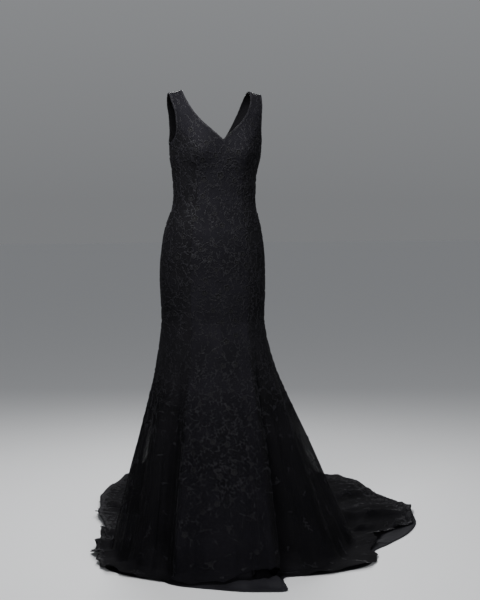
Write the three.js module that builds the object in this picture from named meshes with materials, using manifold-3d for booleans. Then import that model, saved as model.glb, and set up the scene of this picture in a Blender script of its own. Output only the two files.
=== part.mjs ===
// Fit and flare gown: V neck, wide straps, flare from the knee, train swept to the wearer's left.
// Units are millimetres, +Z is up and the dress faces -Y, so the wearer's left is +X.
// The origin is on the shoulders, midway between the tops of the two straps.
import * as THREE from 'three';
import { mergeVertices } from 'three/addons/utils/BufferGeometryUtils.js';
import Module from 'manifold-3d';

// ---------------------------------------------------------------- driving dimensions
const SHOULDER_HEIGHT = 1514;      // strap tops above the floor
const FLOOR = -SHOULDER_HEIGHT;
const WALL = 2;                    // lace on its base, and the satin
const SEAM_GAP = 0.3;              // between neighbouring pieces
const KNEE_DROP = 747;             // where the skirt starts to flare
const KNEE_HEIGHT = SHOULDER_HEIGHT - KNEE_DROP;
const NECK_DROP = 163;             // lowest point of the front V
const BACK_NECK_DROP = 240;        // lowest point of the back V
const UNDERARM_DROP = 172;
const STRAP_INNER = 114;           // half distance between the straps at the shoulder
const STRAP_OUTER = 153;
const SHOULDER_SLOPE = 0.25;
const SLOPE_FADE_DROP = 110;
const SQUARENESS = 0.07;           // how far the body's rings are filled out beyond an ellipse
const LAYER_GAP = 0.4;             // between the lining and the outer layer at the knee
const LINING_SHARE = 0.88;         // how far the lining flares, of the outer layer's flare
const LINING_EASE = 6;             // how far inside the outer layer the lining hangs below the knee
const EASE_SHARE = 0.08;           // share of the fall over which it gets there
const LINING_SPAN = 14;            // degrees either side whose smallest reach the lining keeps inside
const FLOOR_CLEARANCE = 0.6;       // between the two layers where they lie on the floor

// Cups shaped by the princess seams
const CUP = { x: 80, drop: 196, width: 46, height: 50, depth: 22 };

// Girth of the fitted part: half width, depth in front and behind, and sideways lean of each ring
const SECTIONS = [
  { drop: 0, half: 176, front: 0, back: 0, lean: 6 },
  { drop: 1.5, half: 176, front: 13, back: 13, lean: 6 },
  { drop: 6, half: 176, front: 28, back: 28, lean: 6 },
  { drop: 20, half: 173, front: 51, back: 54, lean: 6 },
  { drop: 45, half: 170, front: 76, back: 80, lean: 7 },
  { drop: 80, half: 164, front: 95, back: 96, lean: 8 },
  { drop: 130, half: 157, front: 108, back: 104, lean: 8 },
  { drop: 163, half: 152, front: 112, back: 107, lean: 8 },
  { drop: 190, half: 150, front: 112, back: 107, lean: 8 },
  { drop: 216, half: 148.5, front: 110, back: 104, lean: 7 },
  { drop: 243, half: 143, front: 105, back: 100, lean: 6 },
  { drop: 272, half: 138.5, front: 100, back: 95, lean: 5 },
  { drop: 304, half: 136, front: 96, back: 90, lean: 5 },
  { drop: 346, half: 135.5, front: 93, back: 86, lean: 5 },
  { drop: 375, half: 137.5, front: 94, back: 88, lean: 4 },
  { drop: 400, half: 145, front: 98, back: 93, lean: 3 },
  { drop: 436, half: 156, front: 104, back: 104, lean: 1 },
  { drop: 476, half: 164, front: 109, back: 116, lean: 0 },
  { drop: 516, half: 169, front: 112, back: 126, lean: 0 },
  { drop: 565, half: 173, front: 114, back: 133, lean: -1 },
  { drop: 614, half: 174, front: 114, back: 135, lean: -1 },
  { drop: 664, half: 173, front: 113, back: 131, lean: 0 },
  { drop: 709, half: 171, front: 112, back: 126, lean: 0 },
  { drop: KNEE_DROP, half: 170, front: 111, back: 120, lean: 0 },
];

// Front neckline and the edges of the armholes: half distance from the centre line
const NECK_FRONT = [
  { drop: 0, x: STRAP_INNER },
  { drop: 20, x: 111 },
  { drop: 45, x: 103 },
  { drop: 72, x: 90 },
  { drop: 103, x: 66 },
  { drop: 138, x: 28 },
  { drop: NECK_DROP, x: 0 },
];
const NECK_BACK = [
  { drop: 0, x: STRAP_INNER },
  { drop: 30, x: 108 },
  { drop: 80, x: 91 },
  { drop: 140, x: 62 },
  { drop: 200, x: 26 },
  { drop: BACK_NECK_DROP, x: 0 },
];
const ARM_FRONT = [
  { drop: 0, x: STRAP_OUTER },
  { drop: 40, x: 148 },
  { drop: 80, x: 142 },
  { drop: 112, x: 140 },
];
const ARM_BACK = [
  { drop: 0, x: STRAP_OUTER },
  { drop: 40, x: 149 },
  { drop: 80, x: 143 },
  { drop: 112, x: 141 },
];
const ARM_SEAM_DROP = 112;         // where the side seams of the cups run into the armhole
const ARM_SEAM_BLEND = 80;         // height over which that seam leaves its straight course

// Seams, as angles round the body from the centre front
const FRONT_SEAM = 32;
const SIDE_SEAM = 90;
const BACK_SEAM = 140;
const CENTRE_BACK = 180;

// Plan of the flared skirt: where the cloth leaves the knee ring, the direction in which it reaches the floor,
// how far out it touches, how far out the lining's hem lies, and how much shorter the outer layer is
const SKIRT = [
  { knee: -180, floor: -191, contact: 800, hem: 1420, trim: -15 },
  { knee: -168, floor: -184, contact: 780, hem: 1390, trim: -15 },
  { knee: -156, floor: -176, contact: 700, hem: 1190, trim: -15 },
  { knee: -146, floor: -165, contact: 590, hem: 900, trim: -15 },
  { knee: -136, floor: -150, contact: 455, hem: 600, trim: -15 },
  { knee: -122, floor: -124, contact: 345, hem: 385, trim: -16 },
  { knee: -104, floor: -97, contact: 336, hem: 382, trim: -16 },
  { knee: -90, floor: -80, contact: 340, hem: 396, trim: -14 },
  { knee: -75, floor: -63, contact: 350, hem: 420, trim: -12 },
  { knee: -58, floor: -48, contact: 356, hem: 416, trim: -8 },
  { knee: -42, floor: -37, contact: 356, hem: 412, trim: -6 },
  { knee: -29, floor: -29, contact: 384, hem: 440, trim: -2 },
  { knee: -12, floor: -14, contact: 410, hem: 466, trim: 22 },
  { knee: 2, floor: -2, contact: 430, hem: 504, trim: 26 },
  { knee: 16, floor: 5, contact: 446, hem: 522, trim: 60 },
  { knee: 33, floor: 11, contact: 462, hem: 537, trim: 60 },
  { knee: 43, floor: 19, contact: 352, hem: 415, trim: 0 },
  { knee: 55, floor: 37, contact: 395, hem: 480, trim: -8 },
  { knee: 67, floor: 55, contact: 436, hem: 545, trim: -10 },
  { knee: 79, floor: 69, contact: 446, hem: 536, trim: 0 },
  { knee: 90, floor: 80, contact: 464, hem: 600, trim: 40 },
  { knee: 101, floor: 91, contact: 492, hem: 706, trim: 95 },
  { knee: 112, floor: 101, contact: 536, hem: 802, trim: 60 },
  { knee: 124, floor: 112, contact: 595, hem: 884, trim: 0 },
  { knee: 136, floor: 125, contact: 660, hem: 970, trim: -15 },
  { knee: 148, floor: 138, contact: 715, hem: 1100, trim: -15 },
  { knee: 158, floor: 149, contact: 760, hem: 1270, trim: -15 },
  { knee: 168, floor: 159, contact: 790, hem: 1390, trim: -15 },
  { knee: 180, floor: 169, contact: 800, hem: 1420, trim: -15 },
];

// Way from the knee to the floor, as shares of height and of reach: beside the legs, and into the train
const FALL = [
  { height: 1, side: 0, train: 0 },
  { height: 0.93, side: 0.03, train: 0.012 },
  { height: 0.85, side: 0.085, train: 0.035 },
  { height: 0.76, side: 0.155, train: 0.07 },
  { height: 0.66, side: 0.255, train: 0.12 },
  { height: 0.55, side: 0.375, train: 0.185 },
  { height: 0.43, side: 0.51, train: 0.27 },
  { height: 0.31, side: 0.645, train: 0.37 },
  { height: 0.2, side: 0.77, train: 0.49 },
  { height: 0.11, side: 0.875, train: 0.63 },
  { height: 0.045, side: 0.95, train: 0.78 },
  { height: 0.012, side: 1.0, train: 0.91 },
  { height: 0, side: 1.05, train: 1.02 },
];
const TRAIN_FROM = 440;            // reach at which a column starts to fall like the train
const TRAIN_FULL = 700;

// Largest folds of the skirt: place on the knee ring, half width in degrees, depth off the cloth
const FOLDS = [
  { at: -64, width: 9, depth: 12 },
  { at: -45, width: 8, depth: -22 },
  { at: -29, width: 8, depth: 18 },
  { at: 4, width: 6, depth: 5 },
  { at: 18, width: 6, depth: -5 },
  { at: 34, width: 7, depth: 20 },
  { at: 45, width: 7, depth: -22 },
  { at: 62, width: 8, depth: 14 },
  { at: 78, width: 8, depth: -16 },
  { at: 92, width: 8, depth: 16 },
  { at: 106, width: 7, depth: -18 },
  { at: 120, width: 8, depth: 26 },
  { at: 134, width: 7, depth: -22 },
  { at: 147, width: 7, depth: 22 },
  { at: 160, width: 7, depth: -20 },
  { at: 172, width: 7, depth: 22 },
  { at: -176, width: 7, depth: -12 },
  { at: -163, width: 7, depth: 26 },
  { at: -149, width: 7, depth: -20 },
  { at: -134, width: 8, depth: 20 },
  { at: -114, width: 8, depth: -14 },
  { at: -94, width: 9, depth: 12 },
];
const FOLD_START = 0.06;           // share of the fall at which the folds begin
const FOLD_FULL = 0.6;
const FLOOR_FOLD_SHARE = 0.55;     // what is left of a fold where the cloth lies on the floor
const BEND_START = 0.12;           // height share below which a fold turns into a ripple

// Rows of the grids
const STRAP_ROWS = [0, 6, 20, 45, 80];
const SIDE_ROWS = [
  119, 130, 146, NECK_DROP, UNDERARM_DROP, 190, 214, BACK_NECK_DROP, 270, 304, 350, 396, 445, 520, 614, 685,
];
const CENTRE_ROWS = [...STRAP_ROWS, ...SIDE_ROWS];
const SKIRT_ROWS = 12;

// Concealed zip, at the top of the centre back seam
const ZIP = {
  drop: 262, plateWidth: 5, plateHeight: 8, plateDepth: 1.2, earWidth: 1, earGap: 4, earReach: 3.2, earHeight: 3,
  pinRadius: 0.6, clearance: 0.3, knuckleRadius: 1.6, tabDepth: 1, tabWidth: 6, tabLength: 15, neckWidth: 3.4,
  standOff: 0.3, pivotReach: 2.1, roundSides: 20,
};

const degrees = THREE.MathUtils.degToRad;
const wrapped = (angle) => THREE.MathUtils.euclideanModulo(angle + 180, 360) - 180;
const smoothstep = THREE.MathUtils.smoothstep;
const lerp = THREE.MathUtils.lerp;

// ---------------------------------------------------------------- tables into curves
// Monotone cubic curve of one column of a table against another.
function curve(rows, keyName, valueName) {
  const keys = rows.map((row) => row[keyName]);
  const values = rows.map((row) => row[valueName]);
  const steps = keys.slice(1).map((key, i) => (values[i + 1] - values[i]) / (key - keys[i]));
  const slopes = keys.map((key, i) => {
    if (i === 0) return steps[0];
    if (i === keys.length - 1) return steps[i - 1];
    const before = steps[i - 1];
    const after = steps[i];
    return before * after <= 0 ? 0 : (2 * before * after) / (before + after);
  });
  return (at) => {
    const key = Math.min(Math.max(at, keys[0]), keys[keys.length - 1]);
    let i = 0;
    while (i < keys.length - 2 && key > keys[i + 1]) i += 1;
    const span = keys[i + 1] - keys[i];
    const u = (key - keys[i]) / span;
    const rise = values[i + 1] - values[i];
    const start = slopes[i] * span;
    const end = slopes[i + 1] * span;
    return values[i] + u * (start + u * (3 * rise - 2 * start - end + u * (start + end - 2 * rise)));
  };
}

const section = Object.fromEntries(
  ['half', 'front', 'back', 'lean'].map((name) => [name, curve(SECTIONS, 'drop', name)]),
);
const skirt = Object.fromEntries(
  ['floor', 'contact', 'hem', 'trim'].map((name) => [name, curve(SKIRT, 'knee', name)]),
);
const neckFront = curve(NECK_FRONT, 'drop', 'x');
const neckBack = curve(NECK_BACK, 'drop', 'x');
const armFront = curve(ARM_FRONT, 'drop', 'x');
const armBack = curve(ARM_BACK, 'drop', 'x');

// ---------------------------------------------------------------- the fitted part
// Outer face of the body at an angle round it and a drop below the shoulders.
function bodyPoint(angle, drop) {
  const sine = Math.sin(degrees(angle));
  const cosine = Math.cos(degrees(angle));
  const depth = cosine >= 0 ? section.front(drop) : section.back(drop);
  const x = section.half(drop) * sine * (1 + SQUARENESS * cosine * cosine);
  let y = -depth * cosine * (1 + SQUARENESS * sine * sine);
  if (cosine > 0) {
    const across = (Math.abs(x) - CUP.x) / CUP.width;
    const down = (drop - CUP.drop) / CUP.height;
    y -= CUP.depth * Math.exp(-across * across - down * down) * Math.min(1, cosine * 3);
  }
  const slope = SHOULDER_SLOPE * (1 - smoothstep(drop, 0, SLOPE_FADE_DROP));
  const z = -drop - slope * Math.max(0, Math.abs(x) - STRAP_INNER);
  return new THREE.Vector3(x + section.lean(drop), y, z);
}

// Angle, from 0 to 90 degrees, at which the ring reaches a given half width.
function angleAt(x, drop) {
  const half = section.half(drop);
  let low = 0;
  let high = SIDE_SEAM;
  for (let i = 0; i < 40; i += 1) {
    const middle = (low + high) / 2;
    const sine = Math.sin(degrees(middle));
    const reach = half * sine * (1 + SQUARENESS * (1 - sine * sine));
    if (reach < x) low = middle;
    else high = middle;
  }
  return (low + high) / 2;
}

// Edge of the armhole from the strap to the side seam, as an angle from the centre line.
function armAngle(drop, strapEdge) {
  if (drop >= UNDERARM_DROP) return SIDE_SEAM;
  if (drop <= ARM_SEAM_DROP) return angleAt(strapEdge(drop), drop);
  const from = angleAt(strapEdge(ARM_SEAM_DROP), ARM_SEAM_DROP);
  const share = (drop - ARM_SEAM_DROP) / (UNDERARM_DROP - ARM_SEAM_DROP);
  return lerp(from, SIDE_SEAM, 1 - Math.sqrt(1 - share * share));
}

// Course of a cup or back seam: straight down the body, and curved into the armhole above.
function seamAngle(drop, straight, strapEdge) {
  const top = angleAt(strapEdge(ARM_SEAM_DROP), ARM_SEAM_DROP);
  const share = 1 - smoothstep(drop, ARM_SEAM_DROP, ARM_SEAM_DROP + ARM_SEAM_BLEND);
  return drop <= ARM_SEAM_DROP ? angleAt(strapEdge(drop), drop) : lerp(straight, top, share);
}

// ---------------------------------------------------------------- the flared skirt
// How far out a column touches the floor; the lining keeps inside the deepest fold near it.
function reachOf(knee, layer) {
  let reach = skirt.contact(wrapped(knee));
  for (let turn = -layer.span; turn <= layer.span; turn += layer.span / 4 || 1) {
    reach = Math.min(reach, skirt.contact(wrapped(knee + turn)));
  }
  return reach * layer.share;
}

// Way of one column of cloth from the knee ring to its hem, as points and the length up to each.
function columnWay(knee, layer) {
  const start = bodyPoint(knee, KNEE_DROP);
  const away = degrees(skirt.floor(wrapped(knee)));
  const contact = reachOf(knee, layer);
  const hem = skirt.hem(wrapped(knee));
  const train = smoothstep(skirt.contact(wrapped(knee)), TRAIN_FROM, TRAIN_FULL);
  const rest = layer.rest;
  const points = FALL.map(({ height, side, train: swept }) => {
    const share = lerp(side, swept, train);
    return new THREE.Vector3(
      lerp(start.x, contact * Math.sin(away), share),
      lerp(start.y, -contact * Math.cos(away), share),
      FLOOR + rest + height * (KNEE_HEIGHT - rest),
    );
  });
  points.push(new THREE.Vector3(hem * Math.sin(away), -hem * Math.cos(away), FLOOR + rest));
  const lengths = [0];
  for (let i = 1; i < points.length; i += 1) {
    lengths.push(lengths[i - 1] + points[i].distanceTo(points[i - 1]));
  }
  return { points, lengths };
}

// Smooth point of a column at a share of its length, before the folds.
function plainSkirtPoint(knee, share, layer) {
  const { points, lengths } = columnWay(knee, layer);
  const total = lengths[lengths.length - 1] - layer.trimmed * skirt.trim(wrapped(knee));
  const length = share * total;
  let i = 0;
  while (i < lengths.length - 2 && length > lengths[i + 1]) i += 1;
  const u = (length - lengths[i]) / (lengths[i + 1] - lengths[i]);
  return points[i].clone().lerp(points[i + 1], u);
}

// Depth of the folds at a place on the knee ring.
function foldDepth(knee) {
  let depth = 0;
  for (const fold of FOLDS) {
    const turn = wrapped(knee - fold.at);
    if (Math.abs(turn) < fold.width) depth += fold.depth * 0.5 * (1 + Math.cos((Math.PI * turn) / fold.width));
  }
  return depth;
}

const outer = { share: 1, rest: WALL + FLOOR_CLEARANCE + WALL, trimmed: 1, inset: 0, ease: 0, span: 0 };
const lining = {
  share: LINING_SHARE, rest: WALL, trimmed: 0, inset: WALL + LAYER_GAP, ease: LINING_EASE, span: LINING_SPAN,
};

const ANGLE_STEP = 0.4;
const SHARE_STEP = 0.004;

// Outward normal from two neighbours each way.
function normalOf(surface, across, down, acrossStep, downStep) {
  const left = surface(across - acrossStep, down);
  const right = surface(across + acrossStep, down);
  const above = surface(across, Math.max(0, down - downStep));
  const below = surface(across, down + downStep);
  return below.sub(above).cross(right.sub(left)).normalize();
}

// Outer face of a layer of the skirt with its folds.
function skirtPoint(knee, share, layer) {
  const plain = (across, down) => plainSkirtPoint(across, down, layer);
  const point = plain(knee, share);
  const height = (point.z - FLOOR) / KNEE_HEIGHT;
  const growth = smoothstep(1 - height, FOLD_START, FOLD_FULL);
  const normal = normalOf(plain, knee, share, ANGLE_STEP, SHARE_STEP);
  const standing = lerp(FLOOR_FOLD_SHARE, 1, smoothstep(height, 0, BEND_START));
  const inset = layer.inset + layer.ease * smoothstep(1 - height, 0, EASE_SHARE);
  point.addScaledVector(normal, foldDepth(knee) * growth * standing - inset);
  point.z = Math.max(point.z, FLOOR + layer.rest);
  return point;
}

// ---------------------------------------------------------------- cloth walls
// A vertex of a panel: outer point and outward normal, drawn back from the panel's own seam edges.
function bodyVertex(angle, drop, edge) {
  const normal = drop === 0
    ? shoulderNormal(angle)
    : normalOf(bodyPoint, angle, drop, ANGLE_STEP, 0.5);
  const across = bodyPoint(angle + ANGLE_STEP, drop).sub(bodyPoint(angle - ANGLE_STEP, drop)).normalize();
  const point = bodyPoint(angle, drop).addScaledVector(across, (edge * SEAM_GAP) / 2);
  if (drop === 0) point.y += (Math.cos(degrees(angle)) >= 0 ? -1 : 1) * (SEAM_GAP / 2);
  return { point, normal };
}

// At the shoulder the front and the back meet edge to edge, so the normal has no lean to either.
function shoulderNormal(angle) {
  const across = bodyPoint(angle + ANGLE_STEP, 0).sub(bodyPoint(angle - ANGLE_STEP, 0));
  const normal = new THREE.Vector3(-across.z, 0, across.x).normalize();
  return normal.z < 0 ? normal.negate() : normal;
}

function skirtVertex(knee, share, edge, layer) {
  const surface = (across, down) => skirtPoint(across, down, layer);
  const normal = normalOf(surface, knee, share, ANGLE_STEP, SHARE_STEP);
  const across = surface(knee + ANGLE_STEP, share).sub(surface(knee - ANGLE_STEP, share)).normalize();
  const point = surface(knee, share).addScaledVector(across, (edge * SEAM_GAP) / 2);
  return { point, normal };
}

// Grid of vertices: rows down the body between two edge angles, then rows down the skirt.
function panelGrid(rows, leftEdge, rightEdge, columns, seams, skirtRows, layer) {
  const grid = [];
  const place = (left, right, vertex) => {
    const row = [];
    for (let i = 0; i <= columns; i += 1) {
      const edge = i === 0 ? seams.left : i === columns ? -seams.right : 0;
      row.push(vertex(lerp(left, right, i / columns), edge));
    }
    grid.push(row);
  };
  for (const drop of rows) {
    place(leftEdge(drop), rightEdge(drop), (angle, edge) => bodyVertex(angle, drop, edge));
  }
  for (let j = 0; j <= skirtRows; j += 1) {
    const share = j / skirtRows;
    place(leftEdge(KNEE_DROP), rightEdge(KNEE_DROP), (angle, edge) => skirtVertex(angle, share, edge, layer));
  }
  return grid;
}

// Closed wall of even thickness from one or more grids that share edges.
function thicken(grids, thickness) {
  const outerPoints = [];
  const innerPoints = [];
  const indexOf = new Map();
  const indexFor = ({ point, normal }) => {
    const key = point.toArray().map((value) => value.toFixed(3)).join();
    if (!indexOf.has(key)) {
      indexOf.set(key, outerPoints.length);
      outerPoints.push(point);
      innerPoints.push(point.clone().addScaledVector(normal, -thickness));
    }
    return indexOf.get(key);
  };
  const triangles = [];
  for (const grid of grids) {
    const ids = grid.map((row) => row.map(indexFor));
    for (let j = 0; j + 1 < ids.length; j += 1) {
      for (let i = 0; i + 1 < ids[j].length; i += 1) {
        const corners = [ids[j][i], ids[j + 1][i], ids[j + 1][i + 1], ids[j][i + 1]];
        const [a, b, c, d] = corners;
        const flip = outerPoints[a].distanceTo(outerPoints[c]) > outerPoints[b].distanceTo(outerPoints[d]);
        const pair = flip ? [[a, b, d], [b, c, d]] : [[a, b, c], [a, c, d]];
        triangles.push(...pair.filter((triangle) => new Set(triangle).size === 3));
      }
    }
  }
  const edges = new Map();
  for (const triangle of triangles) {
    triangle.forEach((from, k) => edges.set(`${from},${triangle[(k + 1) % 3]}`, [from, triangle[(k + 1) % 3]]));
  }
  const count = outerPoints.length;
  const index = [];
  for (const [a, b, c] of triangles) index.push(a, b, c, c + count, b + count, a + count);
  // Neighbouring panels split their edge walls along the same diagonal, so that these stay parallel.
  const order = outerPoints.map((point) => point.z - Math.hypot(point.x, point.y) / 2);
  for (const [from, to] of edges.values()) {
    if (edges.has(`${to},${from}`)) continue;
    if (order[from] > order[to]) index.push(to, from, to + count, from, from + count, to + count);
    else index.push(to, from, from + count, to, from + count, to + count);
  }
  const geometry = new THREE.BufferGeometry();
  const positions = [...outerPoints, ...innerPoints].flatMap((point) => point.toArray());
  geometry.setAttribute('position', new THREE.Float32BufferAttribute(positions, 3));
  geometry.setIndex(index);
  geometry.computeVertexNormals();
  return geometry;
}

// ---------------------------------------------------------------- materials
const lace = new THREE.MeshStandardMaterial({ color: 0x141316, roughness: 0.85, metalness: 0 });
const satin = new THREE.MeshStandardMaterial({ color: 0x1c1c20, roughness: 0.4, metalness: 0 });
const metal = new THREE.MeshStandardMaterial({ color: 0x1a1a1c, roughness: 0.35, metalness: 0.8 });

const dress = new THREE.Group();
function add(name, geometry, material) {
  const mesh = new THREE.Mesh(geometry, material);
  mesh.name = name;
  dress.add(mesh);
}

// ---------------------------------------------------------------- panels of the outer layer
const frontSeam = (drop) => seamAngle(drop, FRONT_SEAM, armFront);
const backSeam = (drop) => CENTRE_BACK - seamAngle(drop, CENTRE_BACK - BACK_SEAM, armBack);
const frontNeck = (drop) => (drop >= NECK_DROP ? 0 : angleAt(neckFront(drop), drop));
const backNeck = (drop) => CENTRE_BACK - (drop >= BACK_NECK_DROP ? 0 : angleAt(neckBack(drop), drop));
const frontArm = (drop) => armAngle(drop, armFront);
const backArm = (drop) => CENTRE_BACK - armAngle(drop, armBack);
const mirrored = (edge) => (drop) => -edge(drop);

const FRONT_COLUMNS = 7;
const FRONT_SIDE_COLUMNS = 11;
const BACK_SIDE_COLUMNS = 9;
const BACK_COLUMNS = 7;

// The centre front is two halves that share their middle line below the V.
add('front_centre', thicken([
  panelGrid(CENTRE_ROWS, frontNeck, frontSeam, FRONT_COLUMNS, { left: 0, right: 1 }, SKIRT_ROWS, outer),
  panelGrid(CENTRE_ROWS, mirrored(frontSeam), mirrored(frontNeck), FRONT_COLUMNS, { left: 1, right: 0 },
    SKIRT_ROWS, outer),
], WALL), lace);

const seamed = { left: 1, right: 1 };
add('front_side_left', thicken([
  panelGrid(SIDE_ROWS, frontSeam, frontArm, FRONT_SIDE_COLUMNS, seamed, SKIRT_ROWS, outer),
], WALL), lace);
add('front_side_right', thicken([
  panelGrid(SIDE_ROWS, mirrored(frontArm), mirrored(frontSeam), FRONT_SIDE_COLUMNS, seamed, SKIRT_ROWS, outer),
], WALL), lace);
add('back_side_left', thicken([
  panelGrid(SIDE_ROWS, backArm, backSeam, BACK_SIDE_COLUMNS, seamed, SKIRT_ROWS, outer),
], WALL), lace);
add('back_side_right', thicken([
  panelGrid(SIDE_ROWS, mirrored(backSeam), mirrored(backArm), BACK_SIDE_COLUMNS, seamed, SKIRT_ROWS, outer),
], WALL), lace);
add('back_centre_left', thicken([
  panelGrid(CENTRE_ROWS, backSeam, backNeck, BACK_COLUMNS, seamed, SKIRT_ROWS, outer),
], WALL), lace);
add('back_centre_right', thicken([
  panelGrid(CENTRE_ROWS, mirrored(backNeck), mirrored(backSeam), BACK_COLUMNS, seamed, SKIRT_ROWS, outer),
], WALL), lace);

// ---------------------------------------------------------------- satin lining of the flare
// It has side seams and a centre back seam, and follows the columns of the panels outside it.
const at = (angle) => () => angle;
function liningStrip(from, to, columns, left, right) {
  return panelGrid([], at(from), at(to), columns, { left, right }, SKIRT_ROWS, lining);
}
add('lining_front', thicken([
  liningStrip(-SIDE_SEAM, -FRONT_SEAM, FRONT_SIDE_COLUMNS, 1, 0),
  liningStrip(-FRONT_SEAM, FRONT_SEAM, 2 * FRONT_COLUMNS, 0, 0),
  liningStrip(FRONT_SEAM, SIDE_SEAM, FRONT_SIDE_COLUMNS, 0, 1),
], WALL), satin);
add('lining_back_left', thicken([
  liningStrip(SIDE_SEAM, BACK_SEAM, BACK_SIDE_COLUMNS, 1, 0),
  liningStrip(BACK_SEAM, CENTRE_BACK, BACK_COLUMNS, 0, 1),
], WALL), satin);
add('lining_back_right', thicken([
  liningStrip(-CENTRE_BACK, -BACK_SEAM, BACK_COLUMNS, 1, 0),
  liningStrip(-BACK_SEAM, -SIDE_SEAM, BACK_SIDE_COLUMNS, 0, 1),
], WALL), satin);

// ---------------------------------------------------------------- zip slider and its pull tab
const wasm = await Module();
wasm.setup();

// A closed geometry as a solid that can be joined and cut, and back.
function toSolid(geometry) {
  const bare = geometry.clone();
  bare.deleteAttribute('normal');
  bare.deleteAttribute('uv');
  const merged = mergeVertices(bare, 1e-4);
  return new wasm.Manifold(new wasm.Mesh({
    numProp: 3,
    vertProperties: new Float32Array(merged.attributes.position.array),
    triVerts: new Uint32Array(merged.index.array),
  }));
}

function toGeometry(solid) {
  const mesh = solid.getMesh();
  const geometry = new THREE.BufferGeometry();
  geometry.setAttribute('position', new THREE.Float32BufferAttribute(mesh.vertProperties, 3));
  geometry.setIndex(Array.from(mesh.triVerts));
  geometry.computeVertexNormals();
  return geometry;
}

// Extrudes an outline of (y, z) along X, centred on x = 0.
function alongX(shape, width) {
  const geometry = new THREE.ExtrudeGeometry(shape, { depth: width, bevelEnabled: false, curveSegments: 10 });
  geometry.translate(0, 0, -width / 2);
  return geometry.applyMatrix4(new THREE.Matrix4().makeBasis(
    new THREE.Vector3(0, 1, 0), new THREE.Vector3(0, 0, 1), new THREE.Vector3(1, 0, 0)));
}

// Extrudes an outline of (x, z) along Y, centred on y = 0.
function alongY(shape, depth) {
  const geometry = new THREE.ExtrudeGeometry(shape, { depth, bevelEnabled: false, curveSegments: 10 });
  geometry.translate(0, 0, -depth / 2);
  return geometry.rotateX(Math.PI / 2);
}

function rectangle(left, bottom, width, height) {
  return new THREE.Shape([
    new THREE.Vector2(left, bottom),
    new THREE.Vector2(left + width, bottom),
    new THREE.Vector2(left + width, bottom + height),
    new THREE.Vector2(left, bottom + height),
  ]);
}

// The slider stands off the outermost cloth behind it; its pin is the origin of these outlines.
const cloth = [-1, 0, 1].map((step) => bodyPoint(CENTRE_BACK, ZIP.drop + (step * ZIP.plateHeight) / 2));
const pivot = new THREE.Vector3(
  cloth[1].x,
  Math.max(...cloth.map((point) => point.y)) + ZIP.standOff + ZIP.plateDepth + ZIP.pivotReach,
  cloth[1].z,
);

function sliderGeometry() {
  const plate = alongX(rectangle(-ZIP.pivotReach - ZIP.plateDepth, -ZIP.plateHeight / 2,
    ZIP.plateDepth, ZIP.plateHeight), ZIP.plateWidth + 2 * ZIP.earWidth);
  let solid = toSolid(plate);
  for (const side of [-1, 1]) {
    const ear = alongX(rectangle(-ZIP.pivotReach - ZIP.plateDepth / 2, -ZIP.earHeight / 2,
      ZIP.pivotReach + ZIP.plateDepth / 2 + ZIP.pinRadius * 1.6, ZIP.earHeight), ZIP.earWidth);
    ear.translate((side * (ZIP.earGap + ZIP.earWidth)) / 2, 0, 0);
    solid = solid.add(toSolid(ear));
  }
  const pin = new THREE.CylinderGeometry(ZIP.pinRadius, ZIP.pinRadius, ZIP.earGap + ZIP.earWidth, ZIP.roundSides);
  pin.rotateZ(Math.PI / 2);
  return toGeometry(solid.add(toSolid(pin)));
}

// The tab: a round knuckle with a bore for the pin, and a leaf that widens towards its end.
function tabGeometry() {
  const side = new THREE.Shape();
  const start = Math.asin(ZIP.tabDepth / 2 / ZIP.knuckleRadius);
  side.moveTo(ZIP.tabDepth / 2, -ZIP.tabLength);
  side.absarc(0, 0, ZIP.knuckleRadius, -Math.PI / 2 + start, Math.PI * 1.5 - start, false);
  side.lineTo(-ZIP.tabDepth / 2, -ZIP.tabLength);
  side.closePath();
  const bore = new THREE.Path();
  bore.absarc(0, 0, ZIP.pinRadius + ZIP.clearance, 0, Math.PI * 2, true);
  side.holes.push(bore);
  const leaf = new THREE.Shape();
  const neck = ZIP.neckWidth / 2;
  const half = ZIP.tabWidth / 2;
  leaf.moveTo(neck, ZIP.knuckleRadius + 1);
  leaf.lineTo(-neck, ZIP.knuckleRadius + 1);
  leaf.lineTo(-neck, -ZIP.knuckleRadius * 2);
  leaf.lineTo(-half, -ZIP.tabLength + half);
  leaf.absarc(0, -ZIP.tabLength + half, half, Math.PI, Math.PI * 2, false);
  leaf.lineTo(neck, -ZIP.knuckleRadius * 2);
  leaf.closePath();
  return toGeometry(toSolid(alongX(side, ZIP.tabWidth)).intersect(toSolid(alongY(leaf, ZIP.knuckleRadius * 3))));
}

add('zip_slider', sliderGeometry().translate(...pivot.toArray()), metal);
add('zip_pull', tabGeometry().translate(...pivot.toArray()), metal);

export default dress;
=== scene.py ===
import math

import bpy
import numpy as np
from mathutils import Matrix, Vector


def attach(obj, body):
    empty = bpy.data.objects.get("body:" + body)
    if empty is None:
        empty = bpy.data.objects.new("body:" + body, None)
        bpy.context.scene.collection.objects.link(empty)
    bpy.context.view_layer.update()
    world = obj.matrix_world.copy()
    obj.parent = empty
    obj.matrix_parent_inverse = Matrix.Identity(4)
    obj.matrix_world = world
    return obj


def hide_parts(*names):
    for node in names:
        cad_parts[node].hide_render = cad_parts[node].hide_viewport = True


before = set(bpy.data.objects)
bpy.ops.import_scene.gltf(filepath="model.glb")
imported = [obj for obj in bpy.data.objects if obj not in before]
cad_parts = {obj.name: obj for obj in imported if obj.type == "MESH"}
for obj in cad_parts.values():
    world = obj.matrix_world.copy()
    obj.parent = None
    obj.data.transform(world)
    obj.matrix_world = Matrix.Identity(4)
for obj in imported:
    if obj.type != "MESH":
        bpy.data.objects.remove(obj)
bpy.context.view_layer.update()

# Fit and flare gown: lace over a plain base, tulle over satin from the knee down, train swept to the
# wearer's left. The dress faces -Y and the wearer's left is +X. Lengths are in millimetres until a mesh
# is made, and angles in degrees; the origin is on the shoulders, midway between the straps.
MM = 0.001
SEED = 11

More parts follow.
